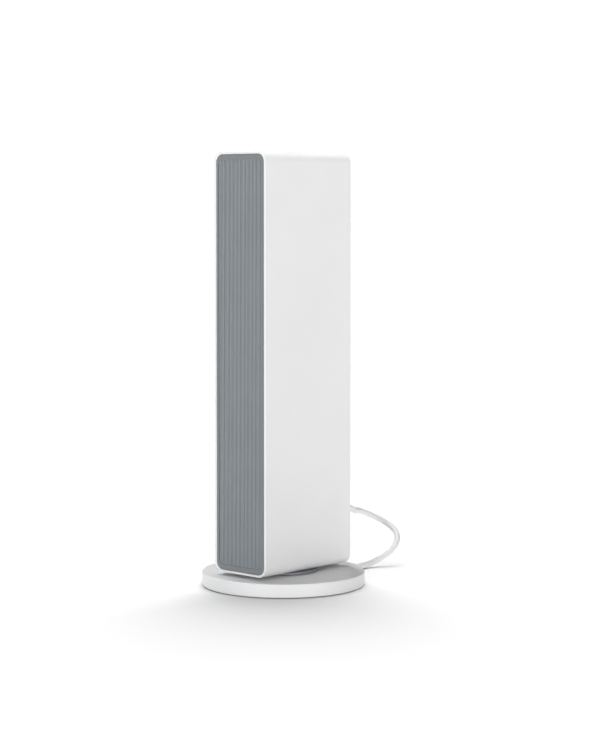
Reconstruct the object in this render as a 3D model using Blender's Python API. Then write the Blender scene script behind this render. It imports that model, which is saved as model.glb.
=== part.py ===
"""Slim tower air purifier on a round turntable base, in metres, +Z up, front towards -Y.

The origin is the centre of the base's underside. The tower swivels about the Z axis over the base.
"""

import math

import bmesh
import bpy
from mathutils import Matrix, Vector

MM = 0.001
GAP = 0.3 * MM  # clearance between pieces that touch on the real object
PLAY = 0.5 * MM  # clearance round a piece that turns or slides

# ---- driving dimensions: tower
BODY_W = 70.0 * MM
BODY_D = 124.0 * MM
BODY_BOTTOM = 17.0 * MM
BODY_TOP = 432.0 * MM
SLEEVE_WALL = 2.4 * MM
SLEEVE_CORNER = 10.5 * MM

# ---- driving dimensions: base
BASE_D = 163.0 * MM
BASE_H = 14.0 * MM
BASE_WALL = 2.2 * MM
BASE_LOW_ROUND = 5.0 * MM
BASE_TOP_ROUND = 1.0 * MM
FOOT_D = 15.0 * MM
FOOT_STAND = 1.2 * MM
FOOT_INSET = 23.5 * MM  # from the base's edge to the middle of a foot
PLATE_T = 4.0 * MM

# ---- driving dimensions: swivel
POST_R = 14.5 * MM
POST_WALL = 3.0 * MM
POST_TOP = 34.0 * MM
POST_FLANGE_R = 30.0 * MM
HUB_WALL = 3.6 * MM
NECK_R = 34.5 * MM
NECK_RIM = 1.5 * MM
WASHER_T = 0.9 * MM
GEAR_MODULE = 1.3 * MM
SUN_TEETH = 30
PINION_TEETH = 12
GEAR_T = 6.0 * MM
SWIVEL_MOTOR_R = 20.5 * MM
SWIVEL_MOTOR_H = 14.0 * MM

# ---- driving dimensions: fan
DECK_Z = 108.0 * MM
DECK_T = 2.4 * MM
UPPER_DECK_DROP = 36.0 * MM
FAN_X = -3.0 * MM
FAN_Y = -16.0 * MM
FAN_R = 24.0 * MM
FAN_BLADES = 16
FAN_BLADE_DEPTH = 6.5 * MM
FAN_BLADE_T = 1.2 * MM
FAN_DISC_T = 2.0 * MM
FAN_DISCS = 4
FAN_END_GAP = 3.0 * MM
SHAFT_R = 2.5 * MM
FAN_MOTOR_R = 18.0 * MM
FAN_MOTOR_H = 44.0 * MM
DUCT_T = 1.8 * MM
SCROLL_START_GAP = 2.2 * MM
SCROLL_END_GAP = 8.6 * MM

# ---- driving dimensions: filter
SEAT_Y = 14.0 * MM
SEAT_T = 2.4 * MM
SEAT_LIP = 6.0 * MM
GASKET_T = 2.6 * MM
FILTER_D = 24.0 * MM
FILTER_W = 59.0 * MM
FILTER_WALL = 1.6 * MM
PLEATS = 13
PLEAT_T = 0.8 * MM
CARBON_T = 2.4 * MM

# ---- driving dimensions: rear, front and top covers
COVER_T = 2.4 * MM
COVER_RIM_D = 6.0 * MM
COVER_RIM_T = 1.4 * MM
SLOT_W = 42.0 * MM
SLOT_H = 2.6 * MM
SLOT_PITCH = 6.4 * MM
SLOT_MARGIN = 8.0 * MM  # the slots end this much short of the filter, both ends together
GRILLE_T = 3.0 * MM
GRILLE_BORDER = 5.0 * MM  # above and below the bars
GRILLE_SIDE = 2.4 * MM  # left and right of the bars
GRILLE_BAR = 1.25 * MM
GRILLE_PITCH = 1.85 * MM
GRILLE_BAR_SINK = 0.3 * MM
GRILLE_CORNER = 8.4 * MM
PANEL_W = 42.0 * MM
PANEL_D = 72.0 * MM
PANEL_CORNER = 6.0 * MM
PANEL_T = 2.0 * MM
BUTTON_R = 6.0 * MM
BUTTON_H = 5.2 * MM
BUTTON_PROUD = 0.4 * MM
BUTTON_PITCH = 17.0 * MM

# ---- driving dimensions: mains lead
CORD_D = 6.0 * MM
CORD_EXIT_Z = 78.0 * MM
CORD_DROOP = math.radians(15.0)
BOOT_LENGTH = 30.0 * MM
BOOT_ROOT_R = 4.7 * MM
BOOT_TIP_R = 3.9 * MM
GLAND_R = 8.8 * MM
GLAND_BORE_R = 6.4 * MM
COIL_CENTRE = (-81.0 * MM, 109.0 * MM)
COIL_OUTER_R = 47.0 * MM
COIL_INNER_R = 18.8 * MM
COIL_TOP = 12.5 * MM
TIE_W = 9.0 * MM
TIE_T = 1.2 * MM
TIE_ANGLE = math.radians(55.0)
PLUG_CENTRE = (-129.0 * MM, 63.0 * MM, 8.0 * MM)
PLUG_YAW = math.radians(43.0)
PLUG_LENGTH = 34.0 * MM
PLUG_W = 25.0 * MM
PLUG_H = 14.0 * MM
PIN_R = 2.0 * MM
PIN_LENGTH = 19.0 * MM
PIN_SPACING = 18.8 * MM
PLUG_BOOT = 12.0 * MM

ROUND = 32  # sides of a middling round piece
FINE_ROUND = 64  # sides of the base

# The lead's route: the corners that a smooth curve is drawn by, millimetres, from the boot to the coil.
CORD_RUN = [
    (0, 91.6, 70.0), (0, 96, 68.9), (-1, 112, 60.6), (-13, 125, 60.1), (-34, 150, 55.6),
    (-26, 175, 45.3), (-7, 180, 35.3), (7, 171, 27.1), (11, 156, 15.3), (0, 140, 5.1),
    (2, 121, 3.1), (0, 105, 3.3), (-15, 90, 3.1), (-30, 86, 3.1), (-37.5, 83, 3.1),
]
# From the coil to the plug.
CORD_TAIL = [
    (-63.5, 61.3, 10.3), (-68, 53, 10.4), (-71, 45, 10.0), (-82, 36, 9.1), (-96, 34, 8.3),
    (-104.4, 37.1, 8.0), (-108.5, 41.0, 8.0),
]


# ---- materials
def material(name, colour, roughness, metallic=0.0):
    made = bpy.data.materials.new(name)
    made.use_nodes = True
    shader = made.node_tree.nodes["Principled BSDF"]
    shader.inputs["Base Color"].default_value = (*colour, 1.0)
    shader.inputs["Roughness"].default_value = roughness
    shader.inputs["Metallic"].default_value = metallic
    return made


# ---- mesh helpers
def clear_scene():
    for old in list(bpy.data.objects):
        bpy.data.objects.remove(old, do_unlink=True)


def finish(name, bm, look, parent=None, at=(0, 0, 0), smooth=None):
    """Makes the bmesh an object whose mesh is given about the point `at`."""
    bmesh.ops.recalc_face_normals(bm, faces=bm.faces)
    mesh = bpy.data.meshes.new(name)
    bm.to_mesh(mesh)
    bm.free()
    if smooth:
        mesh.shade_smooth()
        mesh.set_sharp_from_angle(angle=math.radians(smooth))
    made = bpy.data.objects.new(name, mesh)
    bpy.context.scene.collection.objects.link(made)
    made.location = at
    if look:
        made.data.materials.append(look)
    if parent:
        made.parent = parent
    return made


def pivot(name, at):
    made = bpy.data.objects.new(name, None)
    made.location = at
    bpy.context.scene.collection.objects.link(made)
    return made


def ring_of(bm, outline, level, axis):
    """The outline's points as vertices, in the plane across `axis` at this level."""
    if axis == "Y":
        return [bm.verts.new((a, level, b)) for a, b in outline]
    return [bm.verts.new((a, b, level)) for a, b in outline]


def prism(outline, low, high, axis="Z"):
    """A closed outline drawn out from low to high along Y or Z."""
    bm = bmesh.new()
    ends = [ring_of(bm, outline, level, axis) for level in (low, high)]
    bm.faces.new(ends[0])
    bm.faces.new(ends[1])
    for i in range(len(outline)):
        j = (i + 1) % len(outline)
        bm.faces.new((ends[0][i], ends[0][j], ends[1][j], ends[1][i]))
    return bm


def tube_prism(outer, inner, low, high, axis="Z"):
    """Two outlines with the same number of points, one inside the other, drawn out as one wall."""
    bm = bmesh.new()
    corners = ((outer, low), (outer, high), (inner, high), (inner, low))
    rings = [ring_of(bm, outline, level, axis) for outline, level in corners]
    for k in range(4):
        one, two = rings[k], rings[(k + 1) % 4]
        for i in range(len(outer)):
            j = (i + 1) % len(outer)
            bm.faces.new((one[i], one[j], two[j], two[i]))
    return bm


def block(low, high):
    outline = [(low[0], low[1]), (high[0], low[1]), (high[0], high[1]), (low[0], high[1])]
    return prism(outline, low[2], high[2])


def circle(radius, steps=ROUND, centre=(0, 0), start=0.0):
    points = []
    for i in range(steps):
        a = start + 2 * math.pi * i / steps
        points.append((centre[0] + radius * math.cos(a), centre[1] + radius * math.sin(a)))
    return points


def rounded_rect(width, height, radius, centre=(0, 0), steps=5, radii=None):
    """Corners run from upper right, anticlockwise; `radii` gives each its own radius."""
    points = []
    sizes = radii or (radius,) * 4
    for corner, r in enumerate(sizes):
        sx = 1 if corner in (0, 3) else -1
        sy = 1 if corner in (0, 1) else -1
        cx = centre[0] + sx * (width / 2 - r)
        cy = centre[1] + sy * (height / 2 - r)
        for i in range(steps + 1):
            a = math.pi / 2 * (corner + i / steps)
            points.append((cx + r * math.cos(a), cy + r * math.sin(a)))
    return points


def turned(profile, steps=ROUND, closed=True):
    """Turns (radius, height) points about Z. A closed profile makes a ring; an open one ends on the axis."""
    bm = bmesh.new()
    rings = []
    for r, z in profile:
        if r < 1e-9:
            rings.append([bm.verts.new((0, 0, z))])
            continue
        ring = []
        for i in range(steps):
            a = 2 * math.pi * i / steps
            ring.append(bm.verts.new((r * math.cos(a), r * math.sin(a), z)))
        rings.append(ring)
    pairs = list(zip(rings, rings[1:]))
    if closed:
        pairs.append((rings[-1], rings[0]))
    for one, two in pairs:
        for i in range(steps):
            j = (i + 1) % steps
            if len(one) == 1:
                bm.faces.new((one[0], two[j], two[i]))
            elif len(two) == 1:
                bm.faces.new((one[i], one[j], two[0]))
            else:
                bm.faces.new((one[i], one[j], two[j], two[i]))
    return bm


def arc(centre, radius, start, end, steps):
    points = []
    for i in range(steps + 1):
        a = math.radians(start + (end - start) * i / steps)
        points.append((centre[0] + radius * math.cos(a), centre[1] + radius * math.sin(a)))
    return points


def thick_line(points, thickness):
    """The outline of a wall of this thickness along a line of points."""
    left, right = [], []
    for i, (x, y) in enumerate(points):
        before = Vector(points[max(i - 1, 0)])
        after = Vector(points[min(i + 1, len(points) - 1)])
        along = (after - before).normalized()
        side = Vector((-along.y, along.x)) * thickness / 2
        left.append((x + side.x, y + side.y))
        right.append((x - side.x, y - side.y))
    return left + right[::-1]


def cutter(name, bm, parent=None, at=(0, 0, 0)):
    made = finish(name, bm, None, parent, at)
    made.hide_render = True
    made.display_type = "WIRE"
    return made


def boolean(target, other, operation="DIFFERENCE"):
    step = target.modifiers.new(other.name, "BOOLEAN")
    step.operation = operation
    step.object = other
    step.solver = "EXACT"
    step.use_self = True  # a cutter may be several shapes that run into each other


def bevel(target, width, angle=40.0, segments=2):
    step = target.modifiers.new("edge", "BEVEL")
    step.width = width
    step.segments = segments
    step.limit_method = "ANGLE"
    step.angle_limit = math.radians(angle)
    return step


def rotated(bm, matrix):
    bmesh.ops.transform(bm, matrix=matrix, verts=bm.verts)
    return bm


def merged(parts):
    """Several closed shapes as one bmesh, for use as one cutter."""
    whole = bmesh.new()
    for bm in parts:
        mesh = bpy.data.meshes.new("part")
        bmesh.ops.recalc_face_normals(bm, faces=bm.faces)
        bm.to_mesh(mesh)
        bm.free()
        whole.from_mesh(mesh)
        bpy.data.meshes.remove(mesh)
    return whole


def cylinder(radius, low, high, centre=(0, 0), steps=16):
    return prism(circle(radius, steps, centre), low, high)


def y_cylinder(radius, low, high, centre, steps=16):
    """A round bar along Y; centre is its (x, z)."""
    return prism(circle(radius, steps, centre), low, high, axis="Y")


def screw(name, at, length, up=True, head_r=2.8 * MM, shank_r=1.3 * MM, head_h=1.5 * MM, parent=None):
    """A pan-head screw whose head sits at `at`; its shank runs down where up is true."""
    way = -1 if up else 1
    profile = [
        (0, -way * head_h), (head_r * 0.8, -way * head_h), (head_r, -way * head_h * 0.45),
        (head_r, 0), (shank_r, 0), (shank_r, way * length), (0, way * length),
    ]
    return finish(name, turned(profile, 12, closed=False), STEEL, parent, at, smooth=40)


# ---- gears
def involute(angle):
    return math.tan(angle) - angle


def gear_outline(teeth, module, phase, backlash=0.12, addendum=0.9, dedendum=1.2):
    """Involute teeth at 20 degrees; `phase` is the angle of the middle of the first tooth."""
    pitch = teeth * module / 2
    base = pitch * math.cos(math.radians(20))
    tip = pitch + addendum * module
    root = pitch - dedendum * module
    half = (math.pi / 2 - backlash) / teeth + involute(math.radians(20))
    radii = [max(root, base), pitch, tip]
    points = []
    for tooth in range(teeth):
        middle = phase + 2 * math.pi * tooth / teeth
        offsets = [half - involute(math.acos(min(1.0, base / r))) for r in radii]
        low = [(r, middle - o) for r, o in zip(radii, offsets)]
        high = [(r, middle + o) for r, o in zip(radii[::-1], offsets[::-1])]
        if root < base:
            low = [(root, middle - offsets[0])] + low
            high = high + [(root, middle + offsets[0])]
        for r, a in low + high:
            points.append((r * math.cos(a), r * math.sin(a)))
    return points


# ---- smooth curves for the lead
def smooth_curve(corners, spacing):
    """Points about `spacing` apart on a clamped cubic B-spline drawn by these corners."""
    spans = len(corners) - 3
    knots = [0.0] * 4 + [i / spans for i in range(1, spans)] + [1.0] * 4

    def point(t):
        k = 3 + min(int(t * spans), spans - 1)
        d = [Vector(corners[j + k - 3]) for j in range(4)]
        for r in range(1, 4):
            for j in range(3, r - 1, -1):
                low = knots[j + k - 3]
                share = (t - low) / (knots[j + 1 + k - r] - low)
                d[j] = d[j - 1] * (1 - share) + d[j] * share
        return d[3]

    fine = [point(i / 400) for i in range(401)]
    lengths = [0.0]
    for one, two in zip(fine, fine[1:]):
        lengths.append(lengths[-1] + (two - one).length)
    count = max(2, round(lengths[-1] / spacing))
    points = []
    j = 0
    for i in range(count + 1):
        want = lengths[-1] * i / count
        while j < len(lengths) - 2 and lengths[j + 1] < want:
            j += 1
        share = (want - lengths[j]) / (lengths[j + 1] - lengths[j])
        points.append(fine[j].lerp(fine[j + 1], share))
    return points


def tube(name, points, radius, look, resolution=2):
    curve = bpy.data.curves.new(name, "CURVE")
    curve.dimensions = "3D"
    curve.bevel_depth = radius
    curve.bevel_resolution = resolution
    curve.use_fill_caps = True
    line = curve.splines.new("POLY")
    line.points.add(len(points) - 1)
    for spot, p in zip(line.points, points):
        spot.co = (*p, 1.0)
    curve.materials.append(look)
    made = bpy.data.objects.new(name, curve)
    bpy.context.scene.collection.objects.link(made)
    return made


clear_scene()
WHITE = material("white_shell", (0.80, 0.81, 0.82), 0.45)
GREY = material("grey_grille", (0.25, 0.27, 0.29), 0.55)
DARK = material("dark_plastic", (0.05, 0.05, 0.055), 0.5)
CREAM = material("inner_plastic", (0.55, 0.56, 0.57), 0.5)
STEEL = material("steel", (0.55, 0.56, 0.58), 0.35, 1.0)
IRON = material("ballast_iron", (0.12, 0.12, 0.13), 0.6, 0.8)
RUBBER = material("rubber", (0.03, 0.03, 0.03), 0.85)
NYLON = material("nylon", (0.75, 0.74, 0.68), 0.5)
PAPER = material("filter_paper", (0.78, 0.78, 0.74), 0.9)
CARBON = material("carbon_sheet", (0.03, 0.03, 0.03), 0.9)
FOAM = material("foam", (0.12, 0.12, 0.12), 0.95)
BOARD = material("circuit_board", (0.02, 0.15, 0.06), 0.5)
LENS = material("display_lens", (0.02, 0.02, 0.025), 0.15)
LEAD = material("lead_jacket", (0.72, 0.73, 0.74), 0.55)
BRASS = material("plated_pin", (0.65, 0.62, 0.55), 0.3, 1.0)

# ---- values worked out from the driving dimensions
INNER_W = BODY_W - 2 * SLEEVE_WALL
BODY_H = BODY_TOP - BODY_BOTTOM
BODY_MID_Z = (BODY_TOP + BODY_BOTTOM) / 2
FRONT = -BODY_D / 2
BACK = BODY_D / 2
FLOOR_Z = BODY_BOTTOM + SLEEVE_WALL
CEILING_Z = BODY_TOP - SLEEVE_WALL
INNER_CORNER = SLEEVE_CORNER - SLEEVE_WALL
FILL_W = INNER_W - 2 * GAP
BASE_R = BASE_D / 2
PLATE_Z = FOOT_STAND + GAP
PLATE_TOP = PLATE_Z + PLATE_T
PLATE_R = BASE_R - BASE_LOW_ROUND - BASE_WALL * 0.6
HUB_BORE = POST_R + PLAY
HUB_R = HUB_BORE + HUB_WALL
NECK_LOW = BASE_H + 2 * GAP
NECK_TOP = BODY_BOTTOM - GAP
HUB_TOP = FLOOR_Z + 5.0 * MM
RETAINER_TOP = HUB_TOP + PLAY + 1.5 * MM
GEAR_Z = RETAINER_TOP + GAP
GEAR_TOP = GEAR_Z + GEAR_T
GEAR_CENTRES = GEAR_MODULE * (SUN_TEETH + PINION_TEETH) / 2
PINION_AT = (0.0, -GEAR_CENTRES)
BRACKET_Z = GEAR_TOP + 1.2 * MM
BRACKET_T = 1.6 * MM
MOTOR_Z = BRACKET_Z + BRACKET_T + GAP
DECK_TOP = DECK_Z + DECK_T
UPPER_DECK = BODY_TOP - UPPER_DECK_DROP
DUCT_LOW = DECK_TOP + GAP
DUCT_HIGH = UPPER_DECK - GAP
FAN_LOW = DECK_TOP + FAN_END_GAP
FAN_HIGH = UPPER_DECK - FAN_END_GAP - 1.0 * MM
FAN_AT = (FAN_X, FAN_Y)
GASKET_Y = SEAT_Y + SEAT_T + GAP
FILTER_Y = GASKET_Y + GASKET_T + GAP
FILTER_BACK = FILTER_Y + FILTER_D
FILTER_LOW = DUCT_LOW + 4.0 * MM
FILTER_HIGH = DUCT_HIGH - 4.0 * MM
COVER_LOW = DECK_TOP + 2.0 * MM
COVER_HIGH = CEILING_Z - GAP
COVER_Y = BACK - COVER_T
PANEL_LOW = FLOOR_Z + GAP
PANEL_HIGH = COVER_LOW - GAP
BUTTON_TOP = BODY_TOP + BUTTON_PROUD
CONTROL_BOARD_Z = BODY_TOP - 16.0 * MM

# Every tower piece hangs from an empty on the swivel axis, and turning pieces from one on their own axis.
swivel = pivot("swivel_axis", (0, 0, 0))
impeller_axis = pivot("impeller_axis", (FAN_X, FAN_Y, 0))
impeller_axis.parent = swivel
pinion_axis = pivot("pinion_axis", (PINION_AT[0], PINION_AT[1], 0))
pinion_axis.parent = swivel


# ---- base
def base_cover():
    """A shallow dish turned over, its lower edge rolled inwards round the ballast plate."""
    low = FOOT_STAND
    profile = [(HUB_R + PLAY, BASE_H - BASE_WALL), (HUB_R + PLAY, BASE_H)]
    profile += arc((BASE_R - BASE_TOP_ROUND, BASE_H - BASE_TOP_ROUND), BASE_TOP_ROUND, 90, 0, 2)
    profile += arc((BASE_R - BASE_LOW_ROUND, low + BASE_LOW_ROUND), BASE_LOW_ROUND, 0, -90, 4)
    inner = BASE_LOW_ROUND - BASE_WALL
    profile += [(BASE_R - BASE_LOW_ROUND, low + BASE_WALL)]
    profile += arc((BASE_R - BASE_LOW_ROUND, low + BASE_LOW_ROUND), inner, -60, 0, 2)
    profile += [(BASE_R - BASE_WALL, BASE_H - BASE_WALL)]
    return finish("base_cover", turned(profile[::-1], FINE_ROUND), WHITE, smooth=35)


def base_plate():
    """The ballast: an iron disc with a seat for each foot and a hole for each screw."""
    plate = finish("base_plate", cylinder(PLATE_R - 2 * GAP, PLATE_Z, PLATE_TOP, steps=FINE_ROUND), IRON)
    seats = []
    for x, y in foot_spots():
        seats.append(cylinder(FOOT_D / 2 + GAP, 0, PLATE_Z + 1.5 * MM, (x, y), 24))
    for x, y in base_screw_spots():
        seats.append(cylinder(1.7 * MM, 0, 20 * MM, (x, y)))
        seats.append(cylinder(3.4 * MM, 0, PLATE_Z + 2.0 * MM, (x, y)))
    boolean(plate, cutter("base_plate_holes", merged(seats)))
    return plate


def foot_spots():
    return circle(BASE_R - FOOT_INSET, 4, start=math.radians(45))


def base_screw_spots():
    return circle(POST_FLANGE_R - 4.5 * MM, 3, start=math.radians(90))


def feet():
    names = ("foot_back_right", "foot_back_left", "foot_front_left", "foot_front_right")
    for name, (x, y) in zip(names, foot_spots()):
        r = FOOT_D / 2
        top = PLATE_Z + 1.2 * MM
        profile = [(0, top), (r, top), (r, 0.5 * MM), (r - 0.6 * MM, 0), (0, 0)]
        finish(name, turned(profile[::-1], 24, closed=False), RUBBER, at=(x, y, 0), smooth=40)


def base_post():
    """The hollow post that the tower turns on, with the flange that holds it to the ballast."""
    low = PLATE_TOP + GAP
    flange = low + 2.6 * MM
    bore = POST_R - POST_WALL
    profile = [(bore, low), (POST_FLANGE_R, low), (POST_FLANGE_R, flange), (POST_R, flange)]
    profile += [(POST_R, POST_TOP - 0.6 * MM), (POST_R - 0.6 * MM, POST_TOP), (bore, POST_TOP)]
    post = finish("base_post", turned(profile, ROUND), STEEL, smooth=35)
    holes = [cylinder(1.7 * MM, 0, 20 * MM, spot) for spot in base_screw_spots()]
    boolean(post, cutter("base_post_holes", merged(holes)))
    return post


def base_screws():
    for i, (x, y) in enumerate(base_screw_spots()):
        screw(f"base_screw_{i + 1}", (x, y, PLATE_Z + 1.9 * MM), 5.6 * MM, up=False)


def thrust_washer():
    profile = [(HUB_R + 2 * MM, NECK_LOW - 0.2 * MM), (NECK_R - NECK_RIM - 2 * MM, NECK_LOW - 0.2 * MM)]
    profile += [(r, z + WASHER_T) for r, z in profile[::-1]]
    return finish("thrust_washer", turned(profile, ROUND), NYLON)


def post_retainer():
    low = HUB_TOP + PLAY
    profile = [(POST_R + GAP, low), (HUB_R - 0.4 * MM, low), (HUB_R - 0.4 * MM, RETAINER_TOP)]
    profile += [(POST_R + GAP, RETAINER_TOP)]
    return finish("post_retainer", turned(profile, ROUND), STEEL)


def sun_gear():
    outline = gear_outline(SUN_TEETH, GEAR_MODULE, -math.pi / 2)
    gear = finish("sun_gear", prism(outline, GEAR_Z, GEAR_TOP), NYLON)
    boolean(gear, cutter("sun_gear_bore", cylinder(POST_R + GAP, 0, POST_TOP, steps=ROUND)))
    return gear


# ---- mains lead
def curve_of(corners):
    return smooth_curve([Vector(p) * MM for p in corners], 2.4 * CORD_D)


def lead():
    tube("cord_run", curve_of(CORD_RUN), CORD_D / 2, LEAD)
    profile = [(COIL_INNER_R, 0.1 * MM), (COIL_OUTER_R, 0.1 * MM), (COIL_OUTER_R, COIL_TOP)]
    profile += [(COIL_INNER_R, COIL_TOP)]
    coil = finish("cord_coil", turned(profile, ROUND), LEAD, at=(*COIL_CENTRE, 0), smooth=40)
    boolean(coil, cutter("tie_notch", tie_shape(GAP), at=(*COIL_CENTRE, 0)))
    finish("cord_tie", tie_shape(0.0), DARK, at=(*COIL_CENTRE, 0))
    tube("cord_tail", curve_of(CORD_TAIL), CORD_D / 2, LEAD)


def tie_shape(extra):
    """A strap round the coil's thickness, flat against it, in a shallow notch of the coil's solid."""
    middle = (COIL_OUTER_R + COIL_INNER_R) / 2
    span = COIL_OUTER_R - COIL_INNER_R
    high = COIL_TOP
    outer = rounded_rect(span, high - 0.2 * MM, 3 * MM, (middle, high / 2), 3)
    inner = rounded_rect(span - 2 * TIE_T, high - 2 * TIE_T, 2 * MM, (middle, high / 2), 3)
    if extra:
        inner = rounded_rect(span - 2 * TIE_T - 2 * extra, high - 2 * TIE_T - 2 * extra, 2 * MM,
                             (middle, high / 2), 3)
        outer = rounded_rect(span + 4 * MM, high + 4 * MM, 3 * MM, (middle, high / 2), 3)
    bm = tube_prism(outer, inner, -TIE_W / 2 - extra, TIE_W / 2 + extra, axis="Y")
    return rotated(bm, Matrix.Rotation(TIE_ANGLE, 4, "Z"))


def plug():
    """A two-pin plug lying flat; +Y of its own frame points along the pins."""
    place = Matrix.Translation(PLUG_CENTRE) @ Matrix.Rotation(PLUG_YAW, 4, "Z")
    rear = -PLUG_LENGTH / 2
    front = PLUG_LENGTH / 2
    body = [
        (-PLUG_W / 2, front), (-PLUG_W / 2, front - 14 * MM), (-PLUG_W * 0.34, rear + 9 * MM),
        (-6 * MM, rear), (6 * MM, rear), (PLUG_W * 0.34, rear + 9 * MM),
        (PLUG_W / 2, front - 14 * MM), (PLUG_W / 2, front),
    ]
    solid = rotated(prism(body, -PLUG_H / 2, PLUG_H / 2), place)
    made = finish("plug_body", solid, LEAD)
    bevel(made, 2.0 * MM, 25, 2)
    boot = [(0, rear - PLUG_BOOT), (4.0 * MM, rear - PLUG_BOOT), (5.4 * MM, rear + MM), (0, rear + MM)]
    turn = Matrix.Rotation(math.radians(-90), 4, "X")
    bm = rotated(turned(boot, 16, closed=False), place @ turn)
    boolean(made, cutter("plug_boot", bm), "UNION")
    for name, side in (("plug_pin_left", -1), ("plug_pin_right", 1)):
        at = side * PIN_SPACING / 2
        low, high = front + GAP, front + PIN_LENGTH
        profile = [(0, low), (PIN_R, low), (PIN_R, high - 1 * MM), (PIN_R - 0.9 * MM, high), (0, high)]
        shape = rotated(turned(profile, 12, closed=False), place @ Matrix.Translation((at, 0, 0)) @ turn)
        finish(name, shape, BRASS, smooth=40)


# ---- tower
def sleeve():
    """The casing: a rounded-rectangle tube along Y, open in front and behind."""
    outer = rounded_rect(BODY_W, BODY_H, SLEEVE_CORNER, (0, BODY_MID_Z), 6)
    inner = rounded_rect(INNER_W, BODY_H - 2 * SLEEVE_WALL, INNER_CORNER, (0, BODY_MID_Z), 6)
    made = finish("sleeve", tube_prism(outer, inner, FRONT, BACK, axis="Y"), WHITE, swivel, smooth=35)
    holes = [cylinder(HUB_R + GAP, BODY_BOTTOM - MM, FLOOR_Z + MM, steps=ROUND)]
    holes += [cylinder(1.6 * MM, BODY_BOTTOM - MM, FLOOR_Z + MM, spot) for spot in neck_screw_spots()]
    boolean(made, cutter("sleeve_floor_holes", merged(holes), swivel))
    opening = rounded_rect(PANEL_W, PANEL_D, PANEL_CORNER)
    boolean(made, cutter("sleeve_panel_hole", prism(opening, CEILING_Z - MM, BODY_TOP + MM), swivel))
    return made


def neck_screw_spots():
    """Kept near the tower's middle plane, clear of the rounded lower corners of the sleeve."""
    r = (HUB_R + NECK_R) / 2
    return [(r * math.cos(math.radians(a)), r * math.sin(math.radians(a))) for a in (60, 120, 270)]


def turntable():
    """The disc under the tower and the hub that runs on the post."""
    recess = NECK_LOW + WASHER_T + 0.1 * MM
    rim = NECK_R - NECK_RIM
    profile = [(HUB_BORE, recess), (rim, recess), (rim, NECK_LOW), (NECK_R, NECK_LOW)]
    profile += [(NECK_R, NECK_TOP), (HUB_R, NECK_TOP), (HUB_R, HUB_TOP), (HUB_BORE, HUB_TOP)]
    made = finish("turntable", turned(profile, ROUND), DARK, swivel, smooth=35)
    holes = [cylinder(1.6 * MM, NECK_LOW, NECK_TOP + MM, spot) for spot in neck_screw_spots()]
    boolean(made, cutter("turntable_holes", merged(holes), swivel))
    return made


def turntable_screws():
    for i, (x, y) in enumerate(neck_screw_spots()):
        screw(f"turntable_screw_{i + 1}", (x, y, FLOOR_Z + GAP), SLEEVE_WALL + 1.2 * MM, parent=swivel)


def decks():
    """The shelf that carries the fan motor and the one that carries the upper bearing."""
    low = finish("lower_deck", prism(deck_outline(), DECK_Z, DECK_TOP), CREAM, swivel)
    hole = cylinder(SHAFT_R + 3 * MM, DECK_Z - MM, DECK_TOP + MM, FAN_AT, 24)
    boolean(low, cutter("lower_deck_hole", hole, swivel))
    top = UPPER_DECK + DECK_T
    high = finish("upper_deck", prism(deck_outline(), UPPER_DECK, top), CREAM, swivel)
    hole = cylinder(SHAFT_R + 3 * MM, UPPER_DECK - MM, top + MM, FAN_AT, 24)
    boolean(high, cutter("upper_deck_hole", hole, swivel))


def deck_outline():
    front = FRONT + GRILLE_T + 3 * MM
    back = COVER_Y - COVER_RIM_D - 2 * MM
    return rounded_rect(FILL_W, back - front, 3 * MM, (0, (back + front) / 2), 3)


def upper_bush():
    low, high = UPPER_DECK - 0.8 * MM, UPPER_DECK + DECK_T + 1.2 * MM
    outer = SHAFT_R + 3 * MM - GAP
    profile = [(SHAFT_R + PLAY, low), (outer, low), (outer, high), (SHAFT_R + PLAY, high)]
    return finish("upper_bush", turned(profile, 24), NYLON, swivel, (*FAN_AT, 0))


def fan_motor():
    """An outer-rotor motor hung under the lower deck, with a bore at its top for the drive shaft."""
    top = DECK_Z - GAP
    low = top - FAN_MOTOR_H
    r = FAN_MOTOR_R
    bore = SHAFT_R + PLAY
    profile = [(0, low), (r - 2 * MM, low), (r, low + 2 * MM), (r, top - 4 * MM), (r + 3 * MM, top - 4 * MM)]
    profile += [(r + 3 * MM, top - 1 * MM), (r - 4 * MM, top - 1 * MM), (r - 4 * MM, top), (bore, top)]
    profile += [(bore, top - 14 * MM), (0, top - 14 * MM)]
    return finish("fan_motor", turned(profile, ROUND, closed=False), DARK, swivel, (*FAN_AT, 0), smooth=35)


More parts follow.
